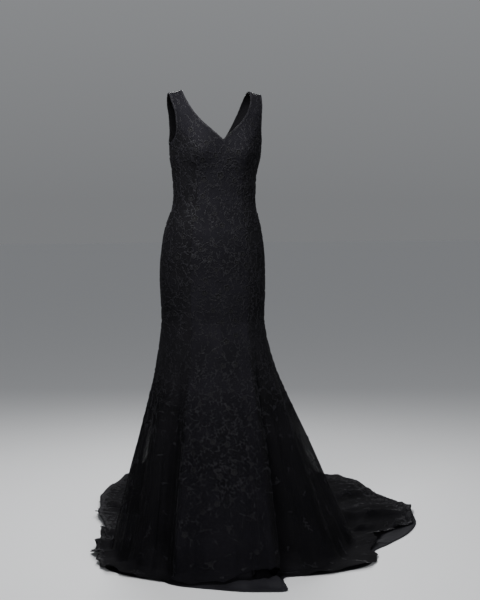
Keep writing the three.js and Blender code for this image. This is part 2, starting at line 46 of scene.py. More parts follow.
# ---- driving dimensions
SHOULDER_HEIGHT = 1514
FLOOR = -SHOULDER_HEIGHT
KNEE_DROP = 747  # where the skirt starts to flare
KNEE_HEIGHT = SHOULDER_HEIGHT - KNEE_DROP
SKIRT_SPAN = 1000  # a course is a drop on the body, then this much more down to the hem
HEM = KNEE_DROP + SKIRT_SPAN
NECK_DROP = 163  # lowest point of the front V
BACK_NECK_DROP = 240  # lowest point of the back V
UNDERARM_DROP = 172
STRAP_INNER = 114
STRAP_OUTER = 153
SHOULDER_SLOPE = 0.25
SLOPE_FADE_DROP = 110
SQUARENESS = 0.07
CUP = {"x": 80, "drop": 196, "width": 46, "height": 50, "depth": 22}
CLOTH = 1.2  # thickness of the outer layer's shell
SATIN = 1.0

# Girth of the fitted part
SECTIONS = (
    # drop, half width, front depth, back depth, lean
    (0, 176, 0, 0, 6),
    (1.5, 176, 13, 13, 6),
    (6, 176, 28, 28, 6),
    (20, 173, 51, 54, 6),
    (45, 170, 76, 80, 7),
    (80, 164, 95, 96, 8),
    (130, 157, 108, 104, 8),
    (163, 152, 112, 107, 8),
    (190, 150, 112, 107, 8),
    (216, 148.5, 110, 104, 7),
    (243, 143, 105, 100, 6),
    (272, 138.5, 100, 95, 5),
    (304, 136, 96, 90, 5),
    (346, 135.5, 93, 86, 5),
    (375, 137.5, 94, 88, 4),
    (400, 145, 98, 93, 3),
    (436, 156, 104, 104, 1),
    (476, 164, 109, 116, 0),
    (516, 169, 112, 126, 0),
    (565, 173, 114, 133, -1),
    (614, 174, 114, 135, -1),
    (664, 173, 113, 131, 0),
    (709, 171, 112, 126, 0),
    (KNEE_DROP, 170, 111, 120, 0),
)

# Edges of the neck and the armholes: drop, half distance from the centre line
NECK_FRONT = ((0, STRAP_INNER), (20, 111), (45, 103), (72, 90), (103, 66), (138, 28), (NECK_DROP, 0))
NECK_BACK = ((0, STRAP_INNER), (30, 108), (80, 91), (140, 62), (200, 26), (BACK_NECK_DROP, 0))
ARM_FRONT = ((0, STRAP_OUTER), (40, 148), (80, 142), (112, 140))
ARM_BACK = ((0, STRAP_OUTER), (40, 149), (80, 143), (112, 141))
ARM_SEAM_DROP = 112
ARM_SEAM_BLEND = 80
FRONT_SEAM = 32
SIDE_SEAM = 90
BACK_SEAM = 140
CENTRE_BACK = 180

# Plan of the flared skirt
SKIRT = (
    # knee angle, floor angle, contact, hem, outer layer's trim, lift of the outer layer's edge
    (-180, -191, 800, 1420, -15, 3),
    (-168, -184, 780, 1390, -15, 8),
    (-156, -176, 700, 1190, -15, 5),
    (-146, -165, 590, 900, -15, 16),
    (-136, -150, 455, 600, -15, 5),
    (-122, -124, 345, 385, -16, 12),
    (-104, -97, 336, 382, -16, 4),
    (-90, -80, 340, 396, -14, 9),
    (-75, -63, 350, 420, -12, 3),
    (-58, -48, 356, 416, -8, 8),
    (-42, -37, 356, 412, -6, 3),
    (-29, -29, 384, 440, -2, 6),
    (-12, -14, 410, 466, 36, 10),
    (2, -2, 430, 504, 84, 10),
    (16, 5, 446, 522, 108, 12),
    (33, 11, 462, 537, 108, 12),
    (43, 19, 352, 415, 10, 5),
    (55, 37, 395, 480, -8, 9),
    (67, 55, 436, 545, -10, 4),
    (79, 69, 446, 536, 0, 12),
    (90, 80, 464, 600, 56, 20),
    (101, 91, 492, 706, 98, 16),
    (112, 101, 536, 802, 14, 8),
    (124, 112, 595, 884, -8, 6),
    (136, 125, 660, 970, -15, 5),
    (148, 138, 715, 1100, -15, 10),
    (158, 149, 760, 1270, -15, 4),
    (168, 159, 790, 1390, -15, 8),
    (180, 169, 800, 1420, -15, 3),
)

# Way from the knee to the floor, as shares of height and of reach: beside the legs, and into the train
FALL = (
    (1, 0, 0), (0.93, 0.03, 0.012), (0.85, 0.085, 0.035), (0.76, 0.155, 0.07), (0.66, 0.255, 0.12),
    (0.55, 0.375, 0.185), (0.43, 0.51, 0.27), (0.31, 0.645, 0.37), (0.2, 0.77, 0.49),
    (0.11, 0.875, 0.63), (0.045, 0.95, 0.78), (0.012, 1.0, 0.91), (0, 1.05, 1.02),
)
TRAIN_FROM = 440
TRAIN_FULL = 700

# Largest folds of the skirt: place on the knee ring, half width, depth off the cloth
FOLDS = (
    (-64, 9, 12), (-45, 8, -22), (-29, 8, 18), (4, 6, 5), (18, 6, -5), (34, 7, 20), (45, 7, -22),
    (62, 8, 14), (78, 8, -16), (92, 8, 16), (106, 7, -18), (120, 8, 26), (134, 7, -22),
    (147, 7, 22), (160, 7, -20), (172, 7, 22), (-176, 7, -12), (-163, 7, 26), (-149, 7, -20),
    (-134, 8, 20), (-114, 8, -14), (-94, 9, 12),
)
FOLD_START = 0.06
FOLD_FULL = 0.6
FLOOR_FOLD_SHARE = 0.55
BEND_START = 0.12

# Smaller folds of the tulle between them, each with the share of the fall where it starts
SMALL_FOLDS = (
    # knee angle, half width, depth, start
    (-84, 3.5, 8.4, 0.25), (-77, 2.5, -5.6, 0.4), (-70, 3, 7, 0.3), (-56, 2.6, -7, 0.35),
    (-50, 2.2, 7, 0.5), (-38, 2.4, 5.6, 0.55), (-22, 3.2, -5.6, 0.3), (-15, 3.6, 4.9, 0.45),
    (-6, 3, -4.9, 0.5), (10, 3.4, 4.2, 0.4), (24, 3, -5.6, 0.35), (29, 2.2, 4.2, 0.6),
    (40, 2, -5.6, 0.5), (52, 2.6, 8.4, 0.35), (57, 2.2, -5.6, 0.5), (68, 2.6, -7, 0.3),
    (73, 2.4, 8.4, 0.45), (85, 2.8, -7, 0.3), (98, 2.6, 8.4, 0.35), (112, 2.6, -8.4, 0.4),
    (127, 2.4, 8.4, 0.3), (140, 2.6, 9.8, 0.35), (153, 2.4, -9.8, 0.3), (166, 2.6, 9.8, 0.4),
    (178, 2.6, -8.4, 0.3), (-170, 2.6, 9.8, 0.4), (-156, 2.4, -9.8, 0.35), (-142, 2.8, 9.8, 0.3),
    (-127, 2.6, -8.4, 0.4), (-121, 2.4, 8.4, 0.5), (-106, 3, 8.4, 0.35),
)

CREASE_RADIUS = 135  # of the body, where its creases are measured
# Creases of the fitted part: angle, drop, length, tilt from the level, width, depth
BODY_CREASES = (
    (66, 338, 70, 12, 7, -1.3), (74, 357, 60, -8, 6, -1.1), (58, 322, 44, 20, 6, -0.8),
    (-70, 342, 66, -10, 7, -1.2), (-62, 326, 50, -18, 6, -0.9), (-78, 362, 52, 9, 6, -1.0),
    (150, 334, 80, 6, 8, -1.8), (168, 350, 70, -5, 8, -1.6), (-158, 340, 84, -7, 8, -1.8),
    (-172, 356, 60, 4, 7, -1.4), (176, 318, 66, 3, 7, -1.2), (54, 176, 46, -52, 7, -1.0),
    (-54, 178, 42, 50, 7, -1.0), (50, 690, 70, 64, 8, -1.4), (-48, 684, 74, -66, 8, -1.4),
    (104, 700, 80, 70, 9, -1.6), (-108, 694, 76, -68, 9, -1.6), (146, 690, 90, 74, 9, -2.0),
    (-144, 700, 86, -72, 9, -2.0),
)

# Ridges of the outer layer where it lies on the floor
TRAIN_RIDGES = (
    # x and y of the inner end, x and y of the outer end, width, height
    (120, 560, 250, 1290, 30, 20), (20, 620, -10, 1230, 26, 18), (-90, 560, -190, 980, 24, 19),
    (-170, 420, -262, 700, 20, 16), (240, 520, 460, 1130, 30, 23), (330, 470, 620, 900, 26, 20),
    (400, 360, 740, 640, 24, 23), (450, 250, 770, 420, 20, 19), (470, 130, 760, 240, 16, 24),
    (500, 60, 700, 90, 13, 27), (300, 900, 380, 1250, 22, 12), (90, 1000, 60, 1360, 24, 12),
    (560, 760, 700, 980, 20, 11), (600, 420, 800, 560, 18, 11), (-60, 900, -110, 1180, 20, 11),
    (180, 760, 330, 820, 24, 9), (60, 880, 190, 940, 22, 8), (430, 760, 560, 720, 22, 9),
    (-275, -150, -420, -220, 21, 20), (-300, -40, -450, -62, 25, 15), (-290, 78, -440, 96, 19, 22),
    (-240, 186, -380, 262, 24, 18),
)

# Small creases on the floor: share of the height, distance apart, direction, phase, bend
CRUMPLES = (
    (0.42, 118, 64, 0.4, 1.4),
    (0.34, 83, 21, 1.9, 1.7),
    (0.26, 61, 108, 3.1, 1.2),
    (0.20, 47, 152, 5.0, 1.5),
)
CRUMPLE_HEIGHT = 10
BARE_SATIN_LIFT = 27  # most that the satin above its hem stands off the floor, where it is bare
# Unevenness of the tulle's edge: depth, waves in a turn, phase
HEM_WAVES = ((6, 19, 0.3), (5, 31, 1.7), (3.5, 53, 4.0))


# ---- tables into curves
def curve(keys, values):
    """Monotone cubic curve through the values of a table."""
    keys = np.asarray(keys, float)
    values = np.asarray(values, float)
    steps = np.diff(values) / np.diff(keys)
    slopes = np.concatenate((steps[:1], np.zeros(len(keys) - 2), steps[-1:]))
    before, after = steps[:-1], steps[1:]
    same_way = before * after > 0
    total = np.where(same_way, before + after, 1)
    slopes[1:-1] = np.where(same_way, 2 * before * after / total, 0)

    def at(key):
        key = np.clip(key, keys[0], keys[-1])
        i = np.clip(np.searchsorted(keys, key, side="right") - 1, 0, len(keys) - 2)
        span = keys[i + 1] - keys[i]
        u = (key - keys[i]) / span
        rise = values[i + 1] - values[i]
        start, end = slopes[i] * span, slopes[i + 1] * span
        return values[i] + u * (start + u * (3 * rise - 2 * start - end + u * (start + end - 2 * rise)))

    return at


def columns(rows, names):
    """One curve for each named column of a table, against its first column."""
    table = np.array(rows, float)
    return {name: curve(table[:, 0], table[:, i + 1]) for i, name in enumerate(names)}


def smoothstep(value, low, high):
    """Smooth rise from 0 to 1 between two values."""
    share = np.clip((value - low) / (high - low), 0, 1)
    return share * share * (3 - 2 * share)


def wrapped(angle):
    return (np.asarray(angle) + 180) % 360 - 180


def unit(vectors):
    """Vectors at length one."""
    return vectors / np.maximum(np.linalg.norm(vectors, axis=-1, keepdims=True), 1e-9)


def run_of(points, axis=0):
    """Distance run along lines of points, from none at the first."""
    steps = np.linalg.norm(np.diff(points, axis=axis), axis=-1)
    start = np.zeros_like(np.take(steps, [0], axis))
    return np.concatenate((start, np.cumsum(steps, axis)), axis)


def heading(degrees):
    """Cosine and sine of an angle."""
    return math.cos(math.radians(degrees)), math.sin(math.radians(degrees))


SECTION = columns(SECTIONS, ("half", "front", "back", "lean"))
SKIRT_PLAN = columns(SKIRT, ("floor", "contact", "hem", "trim", "lift"))
NECK = {"front": curve(*zip(*NECK_FRONT)), "back": curve(*zip(*NECK_BACK))}
ARM = {"front": curve(*zip(*ARM_FRONT)), "back": curve(*zip(*ARM_BACK))}


# ---- the fitted part
def body_points(angle, drop):
    """Outer face of the body at angles round it and drops below the shoulders."""
    sine, cosine = np.sin(np.radians(angle)), np.cos(np.radians(angle))
    depth = np.where(cosine >= 0, SECTION["front"](drop), SECTION["back"](drop))
    x = SECTION["half"](drop) * sine * (1 + SQUARENESS * cosine ** 2)
    y = -depth * cosine * (1 + SQUARENESS * sine ** 2)
    across = (np.abs(x) - CUP["x"]) / CUP["width"]
    down = (drop - CUP["drop"]) / CUP["height"]
    y = y - CUP["depth"] * np.exp(-across ** 2 - down ** 2) * np.clip(cosine * 3, 0, 1)
    slope = SHOULDER_SLOPE * (1 - smoothstep(drop, 0, SLOPE_FADE_DROP))
    z = -drop - slope * np.maximum(0, np.abs(x) - STRAP_INNER)
    return np.stack(np.broadcast_arrays(x + SECTION["lean"](drop), y, z), -1)


def angle_at(x, drop):
    """Angle, from 0 to 90, at which the ring reaches a given half width."""
    half = SECTION["half"](drop)
    low, high = np.zeros_like(half * x), np.full_like(half * x, SIDE_SEAM)
    for _ in range(40):
        middle = (low + high) / 2
        sine = np.sin(np.radians(middle))
        short = half * sine * (1 + SQUARENESS * (1 - sine ** 2)) < x
        low, high = np.where(short, middle, low), np.where(short, high, middle)
    return (low + high) / 2


def arm_angle(drop, side):
    """Edge of the armhole from the strap to the side seam, as an angle from the centre line."""
    drop = np.asarray(drop, float)
    start = angle_at(ARM[side](ARM_SEAM_DROP), np.float64(ARM_SEAM_DROP))
    share = np.clip((drop - ARM_SEAM_DROP) / (UNDERARM_DROP - ARM_SEAM_DROP), 0, 1)
    curved = start + (SIDE_SEAM - start) * (1 - np.sqrt(1 - share ** 2))
    strap = angle_at(ARM[side](np.minimum(drop, ARM_SEAM_DROP)), np.minimum(drop, ARM_SEAM_DROP))
    return np.where(drop <= ARM_SEAM_DROP, strap, curved)


def seam_angle(drop, straight, side):
    """Course of a cup or back seam: straight down the body, and curved into the armhole above."""
    drop = np.asarray(drop, float)
    start = angle_at(ARM[side](ARM_SEAM_DROP), np.float64(ARM_SEAM_DROP))
    share = 1 - smoothstep(drop, ARM_SEAM_DROP, ARM_SEAM_DROP + ARM_SEAM_BLEND)
    curved = straight + (start - straight) * share
    return np.where(drop <= ARM_SEAM_DROP, arm_angle(drop, side), curved)


def neck_angle(drop, side):
    drop = np.asarray(drop, float)
    lowest = NECK_DROP if side == "front" else BACK_NECK_DROP
    return np.where(drop >= lowest, 0, angle_at(NECK[side](drop), np.minimum(drop, lowest)))


def body_crease_depth(angle, drop):
    """Soft troughs along short slanted lines of the fitted part."""
    depth = np.zeros(np.broadcast(angle, drop).shape)
    for at, low, length, tilt, width, deep in BODY_CREASES:
        across = np.radians(wrapped(angle - at)) * CREASE_RADIUS
        down = drop - low
        c, s = heading(tilt)
        along = (across * c + down * s) / (length / 2)
        off = (down * c - across * s) / width
        depth += deep * np.exp(-off ** 2) * np.clip(1 - along ** 2, 0, 1)
    return depth


# ---- the flared skirt
# Layers: share of the reach, height on the floor, turns that share a reach, distance inside the outer cloth,
# its ease at the knee, and slack off the tulle. Only the outer one is trimmed and has small folds and ridges.
OUTER = {"outer": True, "share": 1, "rest": 4.6, "span": 0, "inset": 0, "ease": 0, "slack": 0}
LINING = {"outer": False, "share": 0.88, "rest": 2, "span": 14, "inset": 2.4, "ease": 6, "slack": 0.11}
SLACK_AT, SLACK_WIDTH = -84, 24  # where the tulle stands farthest off the satin

EASE_SHARE = 0.08
SMALL_FOLD_RUN = 0.3  # share of the fall in which a small fold grows to its depth
ANGLES = np.linspace(-CENTRE_BACK, CENTRE_BACK, 1081)
SKIRT_COURSES = 400
BODY_COURSES = 250
COURSE_WARP = 1.6  # how much closer courses stand near the straps
FALL_STEPS = 121
FLOOR_STEPS = 31
NEAR_TURNS = 9
PAST_HEM = 12  # courses that the chart runs on past the hem
PAST_WAY = 150


def fold_depth(knee, folds):
    """Depth of rounded folds across their places on the knee ring."""
    depth = np.zeros_like(knee)
    for at, width, deep in folds:
        turn = np.abs(wrapped(knee - at))
        depth += np.where(turn < width, deep * 0.5 * (1 + np.cos(np.pi * turn / width)), 0)
    return depth


def plain_skirt(layer):
    """Grid of the skirt before its folds: courses down by angles round."""
    knee = ANGLES
    start = body_points(knee, np.float64(KNEE_DROP))
    away = np.radians(SKIRT_PLAN["floor"](knee))
    outward = np.stack((np.sin(away), -np.cos(away)), -1)
    reach = SKIRT_PLAN["contact"](knee)
    train = smoothstep(reach, TRAIN_FROM, TRAIN_FULL)
    near = np.linspace(-layer["span"], layer["span"], NEAR_TURNS)
    taken = layer["share"] - layer["slack"] * np.exp(-((knee - SLACK_AT) / SLACK_WIDTH) ** 2)
    reach = np.min([SKIRT_PLAN["contact"](wrapped(knee + turn)) for turn in near], axis=0) * taken
    rows = np.array(FALL)
    steps = np.linspace(0, len(FALL) - 1, FALL_STEPS)
    height, side, swept = (curve(range(len(FALL)), rows[:, i])(steps)[:, None] for i in range(3))
    share = side + (swept - side) * train
    fall = np.empty((len(steps), len(knee), 3))
    fall[..., :2] = start[:, :2] + (outward * reach[:, None] - start[:, :2]) * share[..., None]
    fall[..., 2] = FLOOR + layer["rest"] + height * (KNEE_HEIGHT - layer["rest"])
    hem = np.empty((len(knee), 3))
    hem[:, :2] = outward * SKIRT_PLAN["hem"](knee)[:, None]
    hem[:, 2] = FLOOR + layer["rest"]
    run = np.linspace(0, 1, FLOOR_STEPS)[1:, None, None]
    way = np.concatenate((fall, fall[-1] + (hem - fall[-1]) * run))
    lengths = run_of(way)
    total = lengths[-1] - layer["outer"] * (SKIRT_PLAN["trim"](knee) + hem_wave(knee))
    shares = np.arange(SKIRT_COURSES + PAST_HEM + 1) / SKIRT_COURSES
    grid = np.empty((len(shares), len(knee), 3))
    for i in range(len(knee)):
        # past the hem the outer layer runs on in the same direction
        onward = way[-1, i] - way[-2, i]
        past = lengths[-1, i] + PAST_WAY
        beyond = way[-1, i] + onward * PAST_WAY / np.linalg.norm(onward)
        known = np.append(lengths[:, i], past)
        for axis in range(3):
            grid[:, i, axis] = np.interp(shares * total[i], known, np.append(way[:, i, axis], beyond[axis]))
    return grid, total


def grid_normals(grid):
    """Outward normals of a grid of courses down by angles round, closed at the back."""
    down = np.gradient(grid, axis=0)
    wide = np.concatenate((grid[:, -2:-1], grid, grid[:, 1:2]), axis=1)
    across = (wide[:, 2:] - wide[:, :-2]) / 2
    return unit(np.cross(down, across))


RIDGE_BEND = 0.06
RIDGE_START, RIDGE_END = (-0.08, 0.25), (0.7, 1.08)
CRUMPLE_BEND, CRUMPLE_PATCH = 4.3, 3.1


def ridge_height(x, y):
    """Height of the ridges in which the outer layer lies on the floor."""
    height = np.zeros_like(x)
    for x0, y0, x1, y1, width, high in TRAIN_RIDGES:
        length = math.hypot(x1 - x0, y1 - y0)
        ux, uy = (x1 - x0) / length, (y1 - y0) / length
        along = ((x - x0) * ux + (y - y0) * uy) / length
        bend = RIDGE_BEND * length * np.sin(np.pi * np.clip(along, 0, 1) * 1.5)
        off = ((x - x0) * -uy + (y - y0) * ux - bend) / width
        ends = smoothstep(along, *RIDGE_START) * (1 - smoothstep(along, *RIDGE_END))
        height += high * np.exp(-off ** 2) * ends
    return height


def crumple(x, y):
    """Small creases of tulle that lies on the floor, from 0 to about 1."""
    height = np.zeros_like(x)
    for share, length, turn, phase, bend in CRUMPLES:
        c, s = heading(turn)
        along, across = x * c + y * s, y * c - x * s
        bent = bend * np.sin(2 * np.pi * along / (length * CRUMPLE_BEND) + phase)
        wave = 2 * np.pi * across / length + phase + bent
        patch = 0.5 + 0.5 * np.sin(2 * np.pi * along / (length * CRUMPLE_PATCH) + 2.1 * phase)
        height += share * patch * (1 - np.abs(np.sin(wave / 2))) ** 2
    return height


def hem_wave(knee):
    """Unevenness of the outer layer's edge, in millimetres off its length."""
    turn = np.radians(knee)
    wave = sum(deep * np.sin(count * turn + phase) for deep, count, phase in HEM_WAVES)
    return wave * (0.3 + 0.7 * smoothstep(np.abs(knee), 50, 85))


# Satin that a shorter tulle leaves bare: trims at which it starts and is whole, its fade about the tulle's
# edge, its run above its own hem, angles off the front between which it lessens, heights where it ends
BARE_TRIMS = (15, 70)
BARE_FADE = (-25, 15)
BARE_RUN = (0, 70)
BARE_SIDES = (50, 80)
BARE_SIDE_LOSS = 0.7
BARE_HEIGHTS = (0.004, 0.062)
BARE_WAVE, BARE_WAVES, BARE_WAVE_LENGTH = 0.13, 12, 26
# Edge of the tulle: last shares of its fall, heights where its rise ends, and its ripples
EDGE_SHARES = (0.9, 1.0)
EDGE_HEIGHTS = (0.02, 0.1)
EDGE_RIPPLE, EDGE_RIPPLES = 0.25, (41, 17)
FLAT_HEIGHTS = (0.004, 0.09)
CRUMPLE_ANGLES = (60, 95)


def bare_satin(knee, trim, from_hem, height):
    """Rise of the satin above its hem, off the floor, where the tulle is cut shorter."""
    fade = smoothstep(from_hem, trim + BARE_FADE[0], trim + BARE_FADE[1])
    bare = smoothstep(trim, *BARE_TRIMS) * (1 - fade)
    bare = bare * (1 - BARE_SIDE_LOSS * smoothstep(np.abs(knee), *BARE_SIDES))
    bare = bare * (1 - smoothstep(height, *BARE_HEIGHTS))
    wave = 1 - BARE_WAVE + BARE_WAVE * np.sin(np.radians(knee) * BARE_WAVES + from_hem / BARE_WAVE_LENGTH)
    return BARE_SATIN_LIFT * smoothstep(from_hem, *BARE_RUN) * wave * bare


def edge_rise(knee, share, height):
    """Rise of the tulle's edge off the satin, with small ripples."""
    turn = np.radians(knee)
    ripple = 1 - EDGE_RIPPLE + EDGE_RIPPLE * np.sin(turn * EDGE_RIPPLES[0]) * np.cos(turn * EDGE_RIPPLES[1])
    edge = smoothstep(share, *EDGE_SHARES)
    return SKIRT_PLAN["lift"](knee) * ripple * edge * (1 - smoothstep(height, *EDGE_HEIGHTS))


def folded_skirt(layer):
    """Grid of the skirt with its folds, its ridges on the floor and the rise of its edge."""
    grid, length = plain_skirt(layer)
    normals = grid_normals(grid)
    knee = ANGLES[None, :]
    share = (np.arange(len(grid)) / SKIRT_COURSES)[:, None]
    height = (grid[..., 2] - FLOOR) / KNEE_HEIGHT
    fallen = 1 - height
    standing = FLOOR_FOLD_SHARE + (1 - FLOOR_FOLD_SHARE) * smoothstep(height, 0, BEND_START)
    depth = fold_depth(knee, FOLDS) * smoothstep(fallen, FOLD_START, FOLD_FULL)
    if layer["outer"]:
        for at, width, deep, start in SMALL_FOLDS:
            one = fold_depth(knee, ((at, width, deep),))
            depth = depth + one * smoothstep(fallen, start, start + SMALL_FOLD_RUN)
    depth = depth * standing - layer["inset"] - layer["ease"] * smoothstep(fallen, 0, EASE_SHARE)
    grid = grid + normals * depth[..., None]
    if layer["outer"]:
        x, y = grid[..., 0], grid[..., 1]
        small = CRUMPLE_HEIGHT * crumple(x, y) * smoothstep(np.abs(knee), *CRUMPLE_ANGLES)
        grid[..., 2] += (ridge_height(x, y) + small) * (1 - smoothstep(height, *FLAT_HEIGHTS))
        grid[..., 2] += edge_rise(knee, share, height)
    else:
        from_hem = (1 - share) * length[None, :]
        grid[..., 2] += bare_satin(knee, SKIRT_PLAN["trim"](knee), from_hem, height)
    grid[..., 2] = np.maximum(grid[..., 2], FLOOR + layer["rest"])
    return grid


def chart(layer, with_body):
    """Points and normals of a layer on a grid of courses and angles."""
    grid = folded_skirt(layer)
    if with_body:
        drop = KNEE_DROP * (np.arange(BODY_COURSES) / BODY_COURSES)[:, None] ** COURSE_WARP
        body = body_points(ANGLES[None, :], drop)
        # at the shoulder ridge front and back meet, so the normals there point up
        normals = grid_normals(body)
        normals[0] = (0, 0, 1)
        body = body + normals * body_crease_depth(ANGLES[None, :], drop)[..., None]
        grid = np.concatenate((body, grid))
    normals = grid_normals(grid)
    if with_body:
        normals[0] = (0, 0, 1)
    return {"points": grid, "normals": normals, "first": BODY_COURSES if with_body else 0}


def sample(surface, angle, course):
    """Points and normals at angles and courses, from the nearest four places of the chart."""
    angle, course = np.broadcast_arrays(np.asarray(angle, float), np.asarray(course, float))
    body = BODY_COURSES * (np.clip(course, 0, KNEE_DROP) / KNEE_DROP) ** (1 / COURSE_WARP)
    skirt = BODY_COURSES + (course - KNEE_DROP) / SKIRT_SPAN * SKIRT_COURSES
    row = np.where(course < KNEE_DROP, body, skirt) - (BODY_COURSES - surface["first"])
    column = (wrapped(angle) + 180) / 360 * (len(ANGLES) - 1)
    column = np.where(np.asarray(angle) >= 180, len(ANGLES) - 1.0, column)
    row = np.clip(row, 0, len(surface["points"]) - 1.001)
    column = np.clip(column, 0, len(ANGLES) - 1.001)
    i, j = row.astype(int), column.astype(int)
    u, v = (row - i)[..., None], (column - j)[..., None]
    found = []
    for name in ("points", "normals"):
        data = surface[name]
        upper = data[i, j] * (1 - v) + data[i, j + 1] * v
        lower = data[i + 1, j] * (1 - v) + data[i + 1, j + 1] * v
        found.append(upper * (1 - u) + lower * u)
    points, normals = found
    return points, unit(normals)


OUTER_CHART = chart(OUTER, True)
LINING_CHART = chart(LINING, False)


# ---- meshes
def mesh_object(name, points, faces, uv=None, attributes=None, smooth=True):
    """Object in metres from points in millimetres and triangles; smooth is for all of them or for each."""
    mesh = bpy.data.meshes.new(name)
    mesh.vertices.add(len(points))
    mesh.vertices.foreach_set("co", (points * MM).astype(np.float32).ravel())
    mesh.loops.add(faces.size)
    mesh.loops.foreach_set("vertex_index", faces.astype(np.int32).ravel())
    mesh.polygons.add(len(faces))
    mesh.polygons.foreach_set("loop_start", np.arange(0, faces.size, 3, dtype=np.int32))
    mesh.polygons.foreach_set("use_smooth", np.full(len(faces), smooth, bool))
    if uv is not None:
        layer = mesh.uv_layers.new(name="cloth")
        layer.data.foreach_set("uv", (uv[faces.ravel()] * MM).astype(np.float32).ravel())
    for key, values in (attributes or {}).items():
        mesh.attributes.new(key, "FLOAT", "POINT").data.foreach_set("value", values.astype(np.float32))
    mesh.update(calc_edges=True)
    mesh.validate()
    piece = bpy.data.objects.new(name, mesh)
    bpy.context.scene.collection.objects.link(piece)
    return piece


SEAM_SHARES = (0.008, 0.02)  # extra columns beside each edge of a panel
SEAM_DIP = 0.9  # how far the cloth is drawn in at a seam
SEAM_WIDTH = 2.2
BODY_ROWS = 60
UPPER_SHARE = 0.4  # share of the skirt's fall in coarser rows
UPPER_ROWS = 46
LOWER_ROWS = 92
LEVELS = (
    np.unique(np.append(
        KNEE_DROP * np.linspace(0, 1, BODY_ROWS) ** COURSE_WARP,
        (ARM_SEAM_DROP, NECK_DROP, BACK_NECK_DROP),
    )),
    KNEE_DROP + SKIRT_SPAN * np.linspace(0, UPPER_SHARE, UPPER_ROWS + 1)[1:],
    KNEE_DROP + SKIRT_SPAN * np.linspace(UPPER_SHARE, 1, LOWER_ROWS + 1)[1:],
)
LEVEL_GAP = 8.0
SAME_PLACE = 2  # decimals to which joined points agree


def grid_faces(rows, cols, first=0):
    ids = first + np.arange(rows * cols).reshape(rows, cols)
    a, b, c, d = ids[:-1, :-1], ids[1:, :-1], ids[1:, 1:], ids[:-1, 1:]
    return np.stack((a, b, c, a, c, d), -1).reshape(-1, 3)


def bridge(upper, lower, first_upper, first_lower):
    """Triangles between two rows whose columns stand at different shares of their width."""
    faces, i, j = [], 0, 0
    while i < len(upper) - 1 or j < len(lower) - 1:
        below = i == len(upper) - 1 or (j < len(lower) - 1 and lower[j + 1] <= upper[i + 1])
        if below:
            faces.append((first_upper + i, first_lower + j, first_lower + j + 1))
            j += 1
        else:
            faces.append((first_upper + i, first_lower + j, first_upper + i + 1))
            i += 1
    return np.array(faces)


def cloth_coordinates_of(points, start):
    """Place in the flat cloth, for an even weave: distance from the middle column, and distance down."""
    across = run_of(points, 1)
    across -= across[:, -1:] / 2
    falls = np.linalg.norm(np.diff(points, axis=0), axis=2).mean(1)
    down = start + np.concatenate(([0], np.cumsum(falls)))
    return np.stack((across, np.broadcast_to(down[:, None], across.shape)), -1)


DOUBLED_FROM = (0.72, 0.6)  # shares of the skirt where the tulle lies double: wearer's right, left
DOUBLED_RUN = 0.18
DOUBLED_ANGLES = (66, 92)
HEAPED_ANGLES, HEAPED_SHARES = (34, 50), (0.8, 0.9)
SHEER_SHARES = (0.1, 0.5)
DOUBLED_COVER = 0.78


def sheer_share(angle, course):
    """How far the outer layer is bare tulle: none on the body, most down the skirt, less where doubled."""
    share = (course - KNEE_DROP) / SKIRT_SPAN
    side = np.abs(wrapped(angle))
    start = np.where(wrapped(angle) < 0, *DOUBLED_FROM)
    doubled = smoothstep(side, *DOUBLED_ANGLES) * smoothstep(share, start, start + DOUBLED_RUN)
    heaped = smoothstep(side, *HEAPED_ANGLES) * smoothstep(share, *HEAPED_SHARES)
    return smoothstep(share, *SHEER_SHARES) * (1 - DOUBLED_COVER * np.maximum(doubled, heaped))


def shell(name, surface, strips, thickness):
    """Closed thin shell from strips that share edges; a strip is levels of rows, each finer than the last."""
    parts, first = [], 0
    for left, right, levels, seams in strips:
        start, last = 0.0, None
        for courses, share in levels:
            low, high = left(courses)[:, None], right(courses)[:, None]
            angle = low + (high - low) * share[None, :]
            course = np.broadcast_to(courses[:, None], angle.shape)
            points, normal = sample(surface, angle, course)
            edges = [np.linalg.norm(points - points[:, [seam]], axis=2) for seam in seams]
            dip = SEAM_DIP * sum(np.exp(-(edge / SEAM_WIDTH) ** 2) for edge in edges)
            points = points - normal * dip[..., None]
            uv = cloth_coordinates_of(points, start)
            faces = grid_faces(*angle.shape, first)
            if last is not None:
                faces = np.concatenate((bridge(last, share, first - len(last), first), faces))
            place = np.stack((course, sheer_share(angle, course)), -1)
            parts.append([grid.reshape(angle.size, -1) for grid in (points, normal, uv, place)] + [faces])
            gap = LEVEL_GAP if len(courses) < 2 else np.linalg.norm(points[-1] - points[-2], axis=-1).mean()
            start, last = uv[-1, 0, 1] + gap, share
            first += angle.size
    points, normals, uv, place, faces = (np.concatenate(column) for column in zip(*parts))
    _, kept, same = np.unique(np.round(points, SAME_PLACE), axis=0, return_index=True, return_inverse=True)
    points, normals, uv, fall, sheer = points[kept], normals[kept], uv[kept], *place[kept].T
    faces = same.ravel()[faces]
    a, b, c = faces.T
    faces = faces[(a != b) & (b != c) & (c != a)]
    edges = np.concatenate((faces[:, [0, 1]], faces[:, [1, 2]], faces[:, [2, 0]]))
    count = len(points)
    forward, backward = edges[:, 0] * count + edges[:, 1], edges[:, 1] * count + edges[:, 0]
    rim = edges[~np.isin(forward, backward)]
    start, end = rim[:, 0], rim[:, 1]
    sides = np.stack((end, start, start + count, end, start + count, end + count), -1).reshape(-1, 3)
    flat_sides = np.repeat((True, False), (2 * len(faces), len(sides)))
    return mesh_object(
        name, np.concatenate((points, points - normals * thickness)),
        np.concatenate((faces, faces[:, ::-1] + count, sides)), smooth=flat_sides,
        uv=np.concatenate((uv, uv)), attributes={"sheer": np.tile(sheer, 2), "fall": np.tile(fall, 2)},
    )


